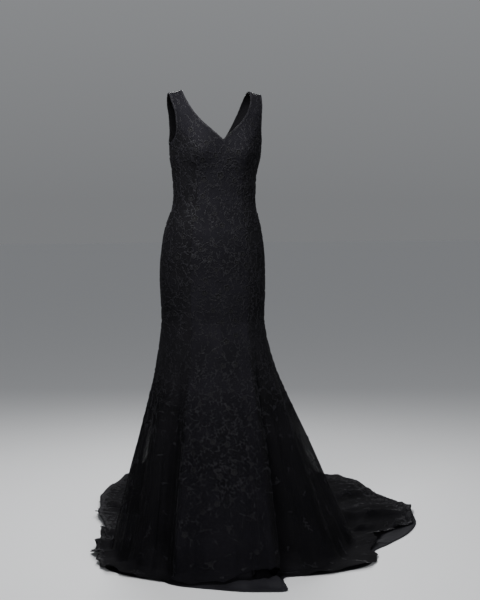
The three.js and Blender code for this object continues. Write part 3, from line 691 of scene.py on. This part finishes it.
def shares(count):
    """Shares of a strip's width for so many columns, with close ones beside each edge."""
    near = np.array(SEAM_SHARES)
    return np.unique(np.concatenate((np.linspace(0, 1, count + 1), near, 1 - near)))


def strip(left, right, counts, top=0, seams=(0, -1)):
    """Strip between two edges from a top drop to the hem, with counts of columns on each level."""
    levels = []
    for courses, count in zip(LEVELS, counts):
        courses = courses[courses > top + 1] if top and courses[0] < KNEE_DROP else courses
        courses = np.append(top, courses) if top and courses[0] < KNEE_DROP else courses
        levels.append((courses, shares(count)))
    return left, right, levels, seams


def body_edge(edge):
    """An edge of the body carried straight on down the skirt."""
    return lambda courses: edge(np.minimum(courses, KNEE_DROP))


front_seam = body_edge(lambda drop: seam_angle(drop, FRONT_SEAM, "front"))
back_seam = body_edge(lambda drop: CENTRE_BACK - seam_angle(drop, CENTRE_BACK - BACK_SEAM, "back"))
front_neck = body_edge(lambda drop: neck_angle(drop, "front"))
back_neck = body_edge(lambda drop: CENTRE_BACK - neck_angle(drop, "back"))
front_arm = body_edge(lambda drop: arm_angle(drop, "front"))
back_arm = body_edge(lambda drop: CENTRE_BACK - arm_angle(drop, "back"))


def mirrored(edge):
    return lambda courses: -edge(courses)


def fixed(angle):
    return lambda courses: np.full(len(courses), float(angle))


# ---- materials
def put(tree, socket, value):
    """A value on an input, or a link to it from another node's output."""
    if isinstance(value, bpy.types.NodeSocket):
        tree.links.new(value, socket)
    else:
        socket.default_value = value


def feed(tree, node, **inputs):
    for key, value in inputs.items():
        put(tree, node.inputs[key.replace("_", " ")], value)


def add_node(tree, kind, output, settings=None, **inputs):
    """One output of a new node, with its settings made and its inputs fed."""
    node = tree.nodes.new("ShaderNode" + kind)
    for key, value in (settings or {}).items():
        setattr(node, key, value)
    feed(tree, node, **inputs)
    return node.outputs[output]


def ramp(tree, source, low, high, dark, light):
    """A value mapped from one range onto another."""
    return add_node(
        tree, "MapRange", "Result", Value=source, From_Min=low, From_Max=high, To_Min=dark, To_Max=light)


def calculate(tree, operation, *values):
    node = tree.nodes.new("ShaderNodeMath")
    node.operation = operation
    for socket, value in zip(node.inputs, values):
        put(tree, socket, value)
    return node.outputs["Value"]


def mix_colour(tree, factor, first, second):
    return add_node(
        tree, "Mix", "Result", {"data_type": "RGBA"}, Factor=factor, A=(*first, 1), B=(*second, 1))


def noise(tree, place, scale, detail):
    return add_node(tree, "TexNoise", "Fac", Vector=place, Scale=scale, Detail=detail)


def relief(tree, height, strength, distance):
    return add_node(tree, "Bump", "Normal", Height=height, Strength=strength, Distance=distance)


def attribute(tree, name):
    return add_node(tree, "Attribute", "Fac", {"attribute_name": name})


def cloth_place(tree):
    return add_node(tree, "UVMap", "UV", {"uv_map": "cloth"})


def object_place(tree):
    return add_node(tree, "TexCoord", "Object")


def new_material(name):
    material = bpy.data.materials.new(name)
    material.use_nodes = True
    return material, material.node_tree, material.node_tree.nodes["Principled BSDF"]


NET_CELLS = 420  # cells of the net in a metre
SATIN_RIBS = 900
THREAD_TWISTS = 1100
WEAR_SPOTS = 700


def net_material(name, dark, light):
    """Tulle: a net of fine threads, opaque on the body, where it is backed, and sheer down the skirt."""
    material, tree, shader = new_material(name)
    place = cloth_place(tree)
    cells = add_node(
        tree, "TexVoronoi", "Distance", {"feature": "DISTANCE_TO_EDGE"},
        Vector=place, Scale=NET_CELLS, Randomness=0.35)
    threads = ramp(tree, cells, 0.05, 0.13, 1, 0)
    tone = ramp(tree, noise(tree, place, 9, 3), 0.35, 0.7, 0, 1)
    hidden = calculate(tree, "SUBTRACT", 1, calculate(tree, "MULTIPLY_ADD", threads, 0.5, 0.46))
    through = calculate(tree, "MULTIPLY", hidden, attribute(tree, "sheer"))
    feed(
        tree, shader, Base_Color=mix_colour(tree, tone, dark, light), Roughness=0.7,
        Alpha=calculate(tree, "SUBTRACT", 1, through), Normal=relief(tree, threads, 0.5, 0.0006),
        Specular_IOR_Level=0.03, Sheen_Weight=0.006, Sheen_Roughness=0.4)
    return material


HEM_STITCH = HEM - 26  # course of the stitching above the satin hem


def satin_material():
    """Lining satin: a smooth float of fine ribs with a soft, drawn-out shine."""
    material, tree, shader = new_material("satin")
    place = cloth_place(tree)
    ribs = add_node(tree, "TexWave", "Fac", Vector=place, Scale=SATIN_RIBS, Distortion=1.5)
    cloudy = noise(tree, place, 14, 4)
    tone = ramp(tree, cloudy, 0.3, 0.7, 0, 1)
    beside = calculate(tree, "ABSOLUTE", calculate(tree, "SUBTRACT", attribute(tree, "fall"), HEM_STITCH))
    stitch = ramp(tree, beside, 0.3, 1.6, -1, 0)
    height = calculate(tree, "MULTIPLY_ADD", ribs, 0.15, stitch)
    feed(
        tree, shader, Base_Color=mix_colour(tree, tone, (0.0098, 0.0096, 0.0116), (0.0145, 0.0142, 0.0171)),
        Roughness=ramp(tree, cloudy, 0.3, 0.7, 0.42, 0.54), Normal=relief(tree, height, 0.6, 0.0006),
        Specular_IOR_Level=0.06, Anisotropic=0.4, Sheen_Weight=0.005)
    return material


def thread_material():
    """Lace: a dull worked web, with a finer cord round it whose crests are painted lighter as a highlight."""
    material, tree, shader = new_material("lace_thread_painted_highlight")
    twist = noise(tree, object_place(tree), THREAD_TWISTS, 2)
    # Painted highlight: the base colour is lighter where the share of cord is high, on the crests of cords
    # and the tops of knots.
    raised = ramp(tree, attribute(tree, "cord"), 0.35, 0.85, 0, 1)
    feed(
        tree, shader, Base_Color=mix_colour(tree, raised, (0.0025, 0.0024, 0.003), (0.0145, 0.014, 0.0174)),
        Roughness=ramp(tree, raised, 0, 1, 0.72, 0.4), Normal=relief(tree, twist, 0.6, 0.0004),
        Specular_IOR_Level=0.1, Sheen_Weight=0.005, Sheen_Roughness=0.35)
    return material


def metal_material():
    """Black lacquered metal of the zip."""
    material, tree, shader = new_material("zip_metal")
    wear = noise(tree, object_place(tree), WEAR_SPOTS, 4)
    tone = ramp(tree, wear, 0.55, 0.75, 0, 1)
    feed(
        tree, shader, Base_Color=mix_colour(tree, tone, (0.010, 0.010, 0.011), (0.05, 0.05, 0.052)),
        Roughness=ramp(tree, wear, 0.3, 0.7, 0.25, 0.4), Metallic=0.6)
    return material


# The front centre panel's net is a lighter, slightly more violet copy of the side panels' net: its lightness
# is painted sheen of the satin-backed centre.
NET_CENTRE_PAINTED_SHEEN = net_material("lace_net_centre_painted_sheen", (0.0054, 0.0052, 0.0066), (0.0084, 0.008, 0.0103))
NET = net_material("lace_net", (0.004, 0.0039, 0.0046), (0.0068, 0.0065, 0.0078))
SATIN_CLOTH = satin_material()
THREAD = thread_material()
LACQUER = metal_material()


def finish_piece(piece, material):
    piece.data.materials.clear()
    piece.data.materials.append(material)
    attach(piece, "dress")


# ---- camera
# The camera stands 4.2 m away at chest height, 13 degrees to the wearer's right, and looks a little down.
CAMERA_DISTANCE = 4.2
CAMERA_HEIGHT = 1.16
CAMERA_TURN = math.radians(-13)
CAMERA_TILT = math.radians(4.48)
CAMERA_PAN = math.radians(1.21)
CAMERA_LENS = 76.6
CAMERA_REACH = 100  # metres to the farthest that it sees


def add_camera():
    camera = bpy.data.objects.new("camera", bpy.data.cameras.new("camera"))
    bpy.context.scene.collection.objects.link(camera)
    camera.data.lens = CAMERA_LENS
    camera.data.clip_end = CAMERA_REACH
    camera.location = (
        CAMERA_DISTANCE * math.sin(CAMERA_TURN),
        -CAMERA_DISTANCE * math.cos(CAMERA_TURN),
        CAMERA_HEIGHT + FLOOR * MM,
    )
    camera.rotation_euler = (math.pi / 2 - CAMERA_TILT, 0, -CAMERA_PAN + CAMERA_TURN)
    bpy.context.scene.camera = camera


add_camera()

# ---- outer layer
PANELS = {
    "front_centre": (
        strip(front_neck, front_seam, (12, 24, 24), seams=(-1,)),
        strip(mirrored(front_seam), mirrored(front_neck), (12, 24, 24), seams=(0,)),
    ),
    "front_side_left": (strip(front_seam, front_arm, (22, 44, 60), ARM_SEAM_DROP),),
    "front_side_right": (strip(mirrored(front_arm), mirrored(front_seam), (22, 44, 44), ARM_SEAM_DROP),),
    "back_side_left": (strip(back_arm, back_seam, (18, 36, 70), ARM_SEAM_DROP),),
    "back_side_right": (strip(mirrored(back_seam), mirrored(back_arm), (18, 36, 60), ARM_SEAM_DROP),),
    "back_centre_left": (strip(back_seam, back_neck, (18, 36, 84)),),
    "back_centre_right": (strip(mirrored(back_neck), mirrored(back_seam), (18, 36, 84)),),
}
LINING_ROWS = 81


def lining_strip(low, high, count):
    courses = KNEE_DROP + np.linspace(0, SKIRT_SPAN, LINING_ROWS)
    return fixed(low), fixed(high), ((courses, shares(count)),), (0, -1)


LININGS = {
    "lining_front": (lining_strip(-SIDE_SEAM, SIDE_SEAM, 96),),
    "lining_back_left": (lining_strip(SIDE_SEAM, CENTRE_BACK, 50),),
    "lining_back_right": (lining_strip(-CENTRE_BACK, -SIDE_SEAM, 50),),
}

cloths = {}
for name, strips in PANELS.items():
    cloths[name] = shell(f"{name}_cloth", OUTER_CHART, strips, CLOTH)
    # the front centre panel takes the lighter net, whose lightness is painted sheen
    finish_piece(cloths[name], NET_CENTRE_PAINTED_SHEEN if name == "front_centre" else NET)
for name, strips in LININGS.items():
    cloths[name] = shell(f"{name}_cloth", LINING_CHART, strips, SATIN)
    finish_piece(cloths[name], SATIN_CLOTH)
for name, piece in cloths.items():
    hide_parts(name)


# ---- lace motifs
# A motif is drawn flat, in millimetres, as points of x, y, height above the net and share of cord; the lace
# material paints a highlight where that share is high
CORD_WIDTH = 1.7
CORD_HEIGHT = 1.3
WEB_HEIGHT = 0.35
SUNK = -0.4  # how far a motif's foot is sunk below its plane
PETAL_POINTS = 5
LEAF_ANGLE = math.radians(46)


def ring(at, radius, turn):
    return np.column_stack((at[0] + radius * np.cos(turn), at[1] + radius * np.sin(turn)))


def full_turn(count):
    return np.arange(count) * 2 * np.pi / count


def set_off(route, across, rows):
    """Copies of a line set off across it, each with a height and a share of cord, the mask of the painted
    highlight.
    """
    size = (len(route), 2)
    return [np.column_stack((route + across * off, np.full(size, (high, cord)))) for off, high, cord in rows]


def corded(outline, crown=0.6):
    """Closed shape with a raised cord round its edge and a web inside it."""
    outline = np.asarray(outline, float)
    ahead = np.roll(outline, -1, 0) - np.roll(outline, 1, 0)
    inward = unit(np.column_stack((-ahead[:, 1], ahead[:, 0])))
    count = len(outline)
    # the cord's crest takes a full share of cord, where the lace material paints its highlight
    rows = ((0, SUNK, 0), (CORD_WIDTH / 2, CORD_HEIGHT, 1), (CORD_WIDTH, WEB_HEIGHT, 0))
    points = [*set_off(outline, inward, rows), np.array([[*outline.mean(0), crown, 0]])]
    i = np.arange(count)
    j = (i + 1) % count
    faces = []
    for row in range(2):
        first = row * count
        faces += [np.stack((i + first, j + first, j + first + count), -1)]
        faces += [np.stack((i + first, j + first + count, i + first + count), -1)]
    faces += [np.stack((i + 2 * count, j + 2 * count, np.full(count, 3 * count)), -1)]
    return np.concatenate(points), np.concatenate(faces)


def knot(radius, height, sides=6, at=(0, 0)):
    """Worked knot, bead-like."""
    # the knot's top takes a full share of cord and its foot less, so the painted highlight sits on its top
    foot = np.column_stack((ring(at, radius, full_turn(sides)), np.full((sides, 2), (SUNK, 0.4))))
    points = np.concatenate((foot, [[*at, height, 1]]))
    i = np.arange(sides)
    return points, np.stack((i, (i + 1) % sides, np.full(sides, sides)), -1)


def flower(radius, petals=5, turn=0.0, at=(0, 0)):
    """Open blossom with rounded petals round a knot."""
    angle = full_turn(petals * PETAL_POINTS)
    reach = radius * (0.52 + 0.48 * np.abs(np.cos(petals * angle / 2)) ** 0.6)
    return joined([corded(ring(at, reach, angle + turn), 0.3), knot(radius * 0.24, 1.6, 6, at)])


def leaf(length, width, start=(0, 0), turn=0.0, bend=0.0):
    """Pointed leaf with a corded edge."""
    share = np.array([0, 0.16, 0.48, 0.82, 1, 0.82, 0.48, 0.16])
    side = np.array([0, 1, 1, 1, 0, -1, -1, -1])
    half = -width / 2 * np.sin(np.pi * share ** 0.8) ** 0.8 * side
    x, y = share * length, half + bend * length * share ** 2
    c, s = math.cos(turn), math.sin(turn)
    return corded(np.column_stack((start[0] + x * c - y * s, start[1] + x * s + y * c)))


def stem(route, width=1.6):
    """Raised cord along a route."""
    route = np.asarray(route, float)
    along = unit(np.gradient(route, axis=0))
    across = np.column_stack((-along[:, 1], along[:, 0])) * width / 2
    count = len(route)
    # the crest of the stem takes a full share of cord, where the lace material paints its highlight
    rows = ((1, SUNK, 0), (0, CORD_HEIGHT, 1), (-1, SUNK, 0))
    i = np.arange(count - 1)
    faces = []
    for first in (0, count):
        faces += [np.stack((i + first, i + first + count, i + first + count + 1), -1)]
        faces += [np.stack((i + first, i + first + count + 1, i + first + 1), -1)]
    return np.concatenate(set_off(route, across, rows)), np.concatenate(faces)


def joined(parts):
    points, faces, first = [], [], 0
    for some_points, some_faces in parts:
        points.append(some_points)
        faces.append(some_faces + first)
        first += len(some_points)
    return np.concatenate(points), np.concatenate(faces)


def arc(start, turn, radius, sweep, count=7):
    """Points along an arc that starts in direction turn, with turn and sweep in degrees."""
    turn, sweep = math.radians(turn), math.radians(sweep)
    side = math.copysign(1, sweep)
    centre = np.array(start) + radius * side * np.array([-math.sin(turn), math.cos(turn)])
    angle = turn - side * math.pi / 2 + np.linspace(0, sweep, count)
    return centre + radius * np.column_stack((np.cos(angle), np.sin(angle)))


def leafed(route, leaves):
    """Stem with leaves on it: place along the route, side, length and width."""
    parts = [stem(route)]
    for place, side, length, width in leaves:
        last = min(place, len(route) - 2)
        ahead = route[last + 1] - route[last]
        turn = math.atan2(ahead[1], ahead[0]) + side * LEAF_ANGLE
        parts.append(leaf(length, width, tuple(route[place]), turn, 0.12 * side))
    return parts


def sprig_bloom():
    """Blossom on a curled stem with leaves and a small blossom at its end."""
    down = arc((-6, -5), 205, 19, 120)
    up = arc((6, 5), 25, 17, 85, 5)
    return joined([
        *leafed(down, ((2, 1, 10, 5), (4, -1, 11, 5.5), (5, 1, 9, 4.5))),
        *leafed(up, ((2, -1, 10, 5), (4, 0, 9, 4.5))),
        flower(10.5, 5, 0.2),
        flower(5.5, 5, 0.7, tuple(down[-1])),
    ])


def sprig_fern():
    """Curved stem with leaves in pairs."""
    route = arc((-22, -3), -20, 52, 52, 8)
    pairs = ((1, 1, 9, 4.5), (2, -1, 10, 5), (3, 1, 11, 5), (4, -1, 11, 5.5), (5, 1, 10, 5), (6, -1, 9, 4.5))
    return joined(leafed(route, (*pairs, (7, 0, 10, 5))))


def sprig_rosette():
    """Six-petalled blossom between leaves."""
    return joined([
        flower(8.5, 6, 0.1),
        leaf(12, 6, (-6, -5), math.radians(215), 0.15),
        leaf(12, 6, (6, -5), math.radians(-40), -0.15),
        leaf(11, 5.5, (1, 8), math.radians(80), 0.1),
        stem(arc((8, 2), 10, 11, 130, 6)),
    ])


def sprig_scroll():
    """Double scroll of cord with a blossom in its crook."""
    one, other = arc((0, 0), 20, 9, 200, 8), arc((0, 0), 200, 12, 170, 8)
    return joined([
        *leafed(one, ((3, -1, 9, 4.5), (6, -1, 8, 4))),
        *leafed(other, ((3, -1, 10, 5), (5, -1, 9, 4.5))),
        flower(6, 5, 0.0, (1, 8)),
    ])


def pair_of_leaves():
    return joined([leaf(10, 5, (0, 0), math.radians(35), 0.15), leaf(10, 5, (0, 0), math.radians(200), 0.15)])


def bud():
    return joined([flower(4.6, 4, 0.3), leaf(8, 4, (4, 0), 0.0, 0.1)])


def curl():
    return joined([stem(arc((-7, 0), 60, 7, -170, 6)), leaf(8, 4, (-7, 0), math.radians(240), 0.1)])


LARGER = 0.2  # how much larger the motifs are on the body than on the skirt
# Thinning of the lace: shares of the skirt where it starts and ends, and how much of the lace goes
THIN_CENTRE = (0.5, 0.95, 0.88)
THIN_FLANK = (0.08, 0.55, 0.9)
THIN_TRAIN = (0.12, 0.6, 0.84)
THINNEST = 0.05


def motif_size(course):
    """Scale of the motifs: largest on the body, smaller down the skirt."""
    return 1 + LARGER * (1 - smoothstep(course, KNEE_DROP - 160, KNEE_DROP + 120))


def thinned(share, start, end, gone):
    return 1 - smoothstep(share, start, end) * gone


def lace_density(angle, course):
    """How closely the lace covers the cloth: whole on the body, thinning down the skirt."""
    share = np.clip((course - KNEE_DROP) / SKIRT_SPAN, 0, 1)
    side = np.abs(wrapped(angle))
    front, train = 1 - smoothstep(side, 25, 42), smoothstep(side, 120, 150)
    flank = thinned(share, *THIN_FLANK)
    body = np.where(
        side < SIDE_SEAM, front * thinned(share, *THIN_CENTRE) + (1 - front) * flank,
        train * thinned(share, *THIN_TRAIN) + (1 - train) * flank)
    border = smoothstep(share, 0.9, 0.97) * smoothstep(side, 95, 125) * 0.9
    size = motif_size(course)
    # larger motifs stand farther apart, and a little closer than their size asks
    return np.clip(np.maximum(body, border), THINNEST, 1) * (1 + 2.6 * (size - 1)) / size ** 2


def edge_drops(bottom):
    """Drops along an edge line, closer together near the strap."""
    return 1 + (bottom - 1) * np.linspace(0, 1, 120) ** 1.3


# Neck and armholes: edge line, the drop where it ends, and which way is off the cloth
EDGES = (
    (front_neck, NECK_DROP, 1),
    (front_arm, UNDERARM_DROP, -1),
    (back_neck, BACK_NECK_DROP, -1),
    (back_arm, UNDERARM_DROP, 1),
)
EDGE_POINTS = np.concatenate([
    body_points(edge(edge_drops(bottom)), edge_drops(bottom)) for edge, bottom, _ in EDGES
])
HEM_ROOM = 18


def inside(angle, course, margin):
    """True where the cloth is, by a margin in millimetres, at the neck, the armholes and the hem."""
    side, drop = np.abs(wrapped(angle)), np.minimum(course, KNEE_DROP)
    front = side < SIDE_SEAM
    clear_neck = np.where(front, side > front_neck(drop), side < back_neck(drop))
    clear_neck |= course > np.where(front, NECK_DROP, BACK_NECK_DROP)
    clear_arm = np.where(front, side < front_arm(drop), side > back_arm(drop)) | (course > UNDERARM_DROP)
    here = body_points(side, drop)
    gap = (here * here).sum(-1)[:, None] + (EDGE_POINTS * EDGE_POINTS).sum(-1) - 2 * here @ EDGE_POINTS.T
    far = gap.min(axis=1) > (margin * motif_size(course)) ** 2
    return clear_arm & clear_neck & far & (course > margin / 2) & (course < HEM - HEM_ROOM)


def frames(surface, angle, course):
    """Millimetres across in a degree of the chart, and how far a course leans across and runs down."""
    step_a, step_c = 0.3, 1.5
    left, _ = sample(surface, angle - step_a, course)
    right, _ = sample(surface, angle + step_a, course)
    above, _ = sample(surface, angle, np.maximum(course - step_c, 0))
    below, _ = sample(surface, angle, course + step_c)
    per_angle = (right - left) / (2 * step_a)
    per_course = (below - above) / (np.minimum(course, step_c) + step_c)[..., None]
    across = unit(per_angle)
    skew = (per_course * across).sum(-1)
    down = per_course - across * skew[..., None]
    down_length = np.linalg.norm(down, axis=-1)
    return np.linalg.norm(per_angle, axis=-1), skew, np.maximum(down_length, 1e-6)


TRIES = 9  # tries for each motif that would fit
LOOSE_TRIES = 0.8  # of the motifs that may touch
SCATTER_COLUMNS = 91
SCATTER_ROWS = 121


def scatter(rng, spacing, taken, bounds, margin, apart):
    """Places about a spacing from each other, wider where the lace thins, and clear of those taken."""
    angles = np.linspace(bounds[0], bounds[1], SCATTER_COLUMNS)
    courses = np.linspace(bounds[2], bounds[3], SCATTER_ROWS)
    middles = np.meshgrid((angles[1:] + angles[:-1]) / 2, (courses[1:] + courses[:-1]) / 2)
    angle, course = (grid.ravel() for grid in middles)
    per_angle, _, per_course = frames(OUTER_CHART, angle, course)
    cell = per_angle * per_course * (angles[1] - angles[0]) * (courses[1] - courses[0])
    weight = cell * lace_density(angle, course) * inside(angle, course, margin)
    tries = int((TRIES if apart else LOOSE_TRIES) * weight.sum() / spacing ** 2)
    chosen = rng.choice(len(weight), tries, p=weight / weight.sum())
    angle = angle[chosen] + rng.uniform(-0.5, 0.5, tries) * (angles[1] - angles[0])
    course = course[chosen] + rng.uniform(-0.5, 0.5, tries) * (courses[1] - courses[0])
    clear = inside(angle, course, margin)
    if not apart:
        return np.column_stack((angle, course))[clear]
    points, _ = sample(OUTER_CHART, angle, course)
    room = spacing ** 2 / lace_density(angle, course)
    found = []
    for i in np.nonzero(clear)[0]:
        near = taken["points"][:taken["count"]] - points[i]
        if not len(near) or (near * near).sum(1).min() > room[i]:
            taken["points"][taken["count"]] = points[i]
            taken["count"] += 1
            found.append((angle[i], course[i]))
    return np.array(found).reshape(-1, 2)


MOTIF_LIFT = 0.25
TOP_COURSE = 0.5


def lay_motifs(motifs, places, kinds, turns, sizes, mirrors):
    """Motifs laid on the outer layer at places of its chart: points, shares of cord, and triangles."""
    blocks = []
    per_angle, skew, per_course = frames(OUTER_CHART, places[:, 0], places[:, 1])
    for k, (points, faces) in enumerate(motifs):
        chosen = np.nonzero(kinds == k)[0]
        if not len(chosen):
            continue
        c, s = np.cos(turns[chosen])[:, None], np.sin(turns[chosen])[:, None]
        size, flip = sizes[chosen][:, None], mirrors[chosen][:, None]
        x = (points[:, 0] * c - points[:, 1] * s * flip) * size
        y = (points[:, 0] * s + points[:, 1] * c * flip) * size
        down = y / per_course[chosen][:, None]
        across = (x - down * skew[chosen][:, None]) / per_angle[chosen][:, None]
        course = np.maximum(places[chosen, 1][:, None] + down, TOP_COURSE)
        base, normal = sample(OUTER_CHART, places[chosen, 0][:, None] + across, course)
        high = base + normal * (points[:, 2] + MOTIF_LIFT)[:, None]
        block = faces[None] + (np.arange(len(chosen)) * len(points))[:, None, None]
        # a mirrored motif keeps its faces outward
        block = np.where(flip[..., None] < 0, block, block[:, :, ::-1])
        # shares of cord, which mark the painted highlight
        cord = np.tile(points[:, 3], len(chosen))[:, None]
        blocks.append((np.concatenate((high.reshape(-1, 3), cord), 1), block.reshape(-1, 3)))
    return joined(blocks)


SPRIGS = [sprig_bloom(), sprig_fern(), sprig_rosette(), sprig_scroll()]
FILLERS = [pair_of_leaves(), bud(), curl()]
KNOTS = [knot(1.2, 1.5, 4)]
# Courses where one area of lace ends and the next starts
LACE_TOP, WAIST_LACE, LACE_END = 2, 440, HEM - 8
SKIRT_LACE = KNEE_DROP + 120
TRAIN_LACE = KNEE_DROP + 200
LEFT, RIGHT = (SIDE_SEAM, CENTRE_BACK), (-CENTRE_BACK, -SIDE_SEAM)
LACE_AREAS = {
    "lace_bodice_front": (-SIDE_SEAM, SIDE_SEAM, LACE_TOP, WAIST_LACE),
    "lace_hips_front": (-SIDE_SEAM, SIDE_SEAM, WAIST_LACE, SKIRT_LACE),
    "lace_skirt_front": (-SIDE_SEAM, SIDE_SEAM, SKIRT_LACE, LACE_END),
    "lace_back_left": (*LEFT, LACE_TOP, TRAIN_LACE),
    "lace_back_right": (*RIGHT, LACE_TOP, TRAIN_LACE),
    "lace_train_left": (*LEFT, TRAIN_LACE, LACE_END),
    "lace_train_right": (*RIGHT, TRAIN_LACE, LACE_END),
}
# Motifs, the least distance between them, room to the edges of the cloth, whether they keep apart
LACE_ROUNDS = (
    (SPRIGS, 35, 25, True),
    (FILLERS, 19, 12, True),
    (KNOTS, 9, 4, False),
)
MOST_MOTIFS = 12000
TURN_SPREAD = 0.9
TURNED_SHARE = 0.35  # share of the motifs that point up the dress
MOTIF_SIZES = (0.85, 1.15)


def lace_piece(name, blocks):
    points, faces = joined(blocks)
    # the share of cord goes to the lace material as the mask of its painted highlight
    piece = mesh_object(name, points[:, :3], faces, attributes={"cord": points[:, 3]})
    finish_piece(piece, THREAD)
    return piece


def add_lace(name, bounds, rng, taken):
    """One area of lace: large sprigs first, then smaller motifs in the gaps between them."""
    blocks = []
    for motifs, spacing, margin, apart in LACE_ROUNDS:
        places = scatter(rng, spacing, taken, bounds, margin, apart)
        count = len(places)
        kinds = rng.integers(0, len(motifs), count)
        turned = rng.normal(math.pi / 2, TURN_SPREAD, count)
        turns = turned + np.where(rng.random(count) < TURNED_SHARE, math.pi, 0)
        sizes = rng.uniform(*MOTIF_SIZES, count) * motif_size(places[:, 1])
        mirrors = np.where(rng.random(count) < 0.5, -1.0, 1.0)
        blocks.append(lay_motifs(motifs, places, kinds, turns, sizes, mirrors))
    return lace_piece(name, blocks)


rng = np.random.default_rng(SEED)
taken = {"points": np.zeros((MOST_MOTIFS, 3)), "count": 0}
laces = {name: add_lace(name, bounds, rng, taken) for name, bounds in LACE_AREAS.items()}


# ---- scalloped edges
def edge_motifs(motifs, angles, courses, spacing, outward, rng, spread=0.12):
    """Motifs along an edge line, with their x axis off the cloth."""
    points, _ = sample(OUTER_CHART, angles, courses)
    run = run_of(points)
    count = max(1, round(run[-1] / spacing))
    stops = (np.arange(count) + 0.5) * run[-1] / count
    angle, course = np.interp(stops, run, angles), np.interp(stops, run, courses)
    step = min(1, spacing / 4)
    turn = np.interp(stops + step, run, angles) - np.interp(stops - step, run, angles)
    fall = np.interp(stops + step, run, courses) - np.interp(stops - step, run, courses)
    per_angle, skew, per_course = frames(OUTER_CHART, angle, course)
    turns = np.arctan2(fall * per_course, turn * per_angle + fall * skew) + outward * math.pi / 2
    turns = turns + rng.normal(0, spread, count)
    kinds = rng.integers(0, len(motifs), count)
    sizes = rng.uniform(0.9, 1.12, count)
    return lay_motifs(motifs, np.column_stack((angle, course)), kinds, turns, sizes, np.ones(count))


def loop(radius, at):
    """Round picot of cord."""
    return corded(ring(at, radius, full_turn(8)))


PETALS = [loop(3.2, (-0.9, 0)), loop(2.8, (-0.4, 0)), loop(3.5, (-1.4, 0))]
EDGE_SPRIGS = [
    joined([leaf(9, 4.6, (-3, -4), math.radians(78), 0.1), leaf(8, 4.4, (-4, 2), math.radians(-60), 0.1)]),
    joined([flower(4.6, 5, 0.2, (-3.5, 0)), leaf(8, 4, (-3, 4), math.radians(100), 0.1)]),
    joined([stem(arc((-2, -8), 100, 12, 70, 6)), leaf(8, 4.2, (-4, 5), math.radians(110), 0.1)]),
]
def scallop(blossom, length, width, start, turn, bend):
    """Blossom on the edge between two leaves."""
    leaves = [
        leaf(length, width, (start[0], start[1] * side), math.radians(turn * side), bend * side)
        for side in (1, -1)
    ]
    return joined([blossom, *leaves])


SCALLOPS = [
    scallop(flower(10, 5, 0.0, (-9, 0)), 13, 6, (-12, 4), 60, 0.2),
    scallop(flower(7, 5, 0.5, (-5, 0)), 14, 7, (-16, 7), 25, 0.1),
]
PETAL_SPACING, EDGE_SPRIG_SPACING, SCALLOP_SPACING = 5.0, 15, 24
EDGE_SPRIG_SPREAD = 0.3


def add_edges(rng):
    """Petals of lace along the neck and the armholes."""
    blocks = []
    for sign in (1, -1):
        for edge, bottom, outward in EDGES:
            drops = edge_drops(bottom)
            line = (sign * edge(drops), drops)
            blocks.append(edge_motifs(PETALS, *line, PETAL_SPACING, outward * sign, rng))
            blocks.append(edge_motifs(
                EDGE_SPRIGS, *line, EDGE_SPRIG_SPACING, outward * sign, rng, EDGE_SPRIG_SPREAD))
    return lace_piece("lace_edges", blocks)


HEM_LACE = (100, 278)  # the lace border of the train, as angles round past the centre back
BORDER_STEPS = 500


def add_border(rng):
    """Scalloped lace along the edge of the train."""
    blocks = []
    for low, high in ((HEM_LACE[0], CENTRE_BACK - 0.5), (-CENTRE_BACK + 0.5, HEM_LACE[1] - 360)):
        angles = np.linspace(low, high, BORDER_STEPS)
        courses = np.full(BORDER_STEPS, HEM - 1.0)
        blocks.append(edge_motifs(SCALLOPS, angles, courses, SCALLOP_SPACING, 1, rng))
    return lace_piece("lace_border", blocks)


laces["lace_edges"] = add_edges(rng)
laces["lace_border"] = add_border(rng)

# ---- zip
for name in ("zip_slider", "zip_pull"):
    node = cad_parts[name]
    node.data.materials.clear()
    node.data.materials.append(LACQUER)

# ---- studio
FLOOR_SIZE = 60
FLOOR_GAP = 0.0005


def add_floor():
    half = FLOOR_SIZE / 2 / MM
    level = FLOOR - FLOOR_GAP / MM
    corners = np.array([(x * half, y * half, level) for x, y in ((-1, -1), (1, -1), (1, 1), (-1, 1))])
    floor = mesh_object("studio_floor", corners, np.array([(0, 1, 2), (0, 2, 3)]), smooth=False)
    material, tree, shader = new_material("pale_floor")
    feed(tree, shader, Base_Color=(0.7, 0.705, 0.715, 1), Roughness=0.85, Specular_IOR_Level=0.2)
    floor.data.materials.append(material)


# Soft lights: name, place, what each is aimed at, size, power
LIGHTS = (
    ("key", (-0.45, -0.9, 0.62), (0, 0, -0.15), 0.6, 46),
    ("fill", (0.5, -3.4, -0.5), (0.1, 0, -1.1), 1.6, 42),
    ("rim", (0.3, 1.5, 0.75), (0, 0.2, -0.5), 0.8, 52),
)


def add_light(name, place, aim, size, power):
    light = bpy.data.objects.new(name, bpy.data.lights.new(name, "AREA"))
    bpy.context.scene.collection.objects.link(light)
    light.data.shape = "DISK"
    light.data.size = size
    light.data.energy = power
    light.location = place
    light.visible_camera = False
    direction = Vector(aim) - Vector(place)
    light.rotation_euler = direction.to_track_quat("-Z", "Y").to_euler()


WORLD_STRENGTH = (0.25, 0.34)  # at the horizon, where it meets the floor, and above
WORLD_RISE = 0.2


def add_world():
    world = bpy.data.worlds.new("studio")
    world.use_nodes = True
    tree = world.node_tree
    direction = add_node(tree, "TexCoord", "Generated")
    height = add_node(tree, "SeparateXYZ", "Z", Vector=direction)
    feed(
        tree, tree.nodes["Background"], Color=(0.80, 0.82, 0.85, 1),
        Strength=ramp(tree, height, 0, WORLD_RISE, *WORLD_STRENGTH))
    bpy.context.scene.world = world


add_floor()
add_world()
for light in LIGHTS:
    add_light(*light)
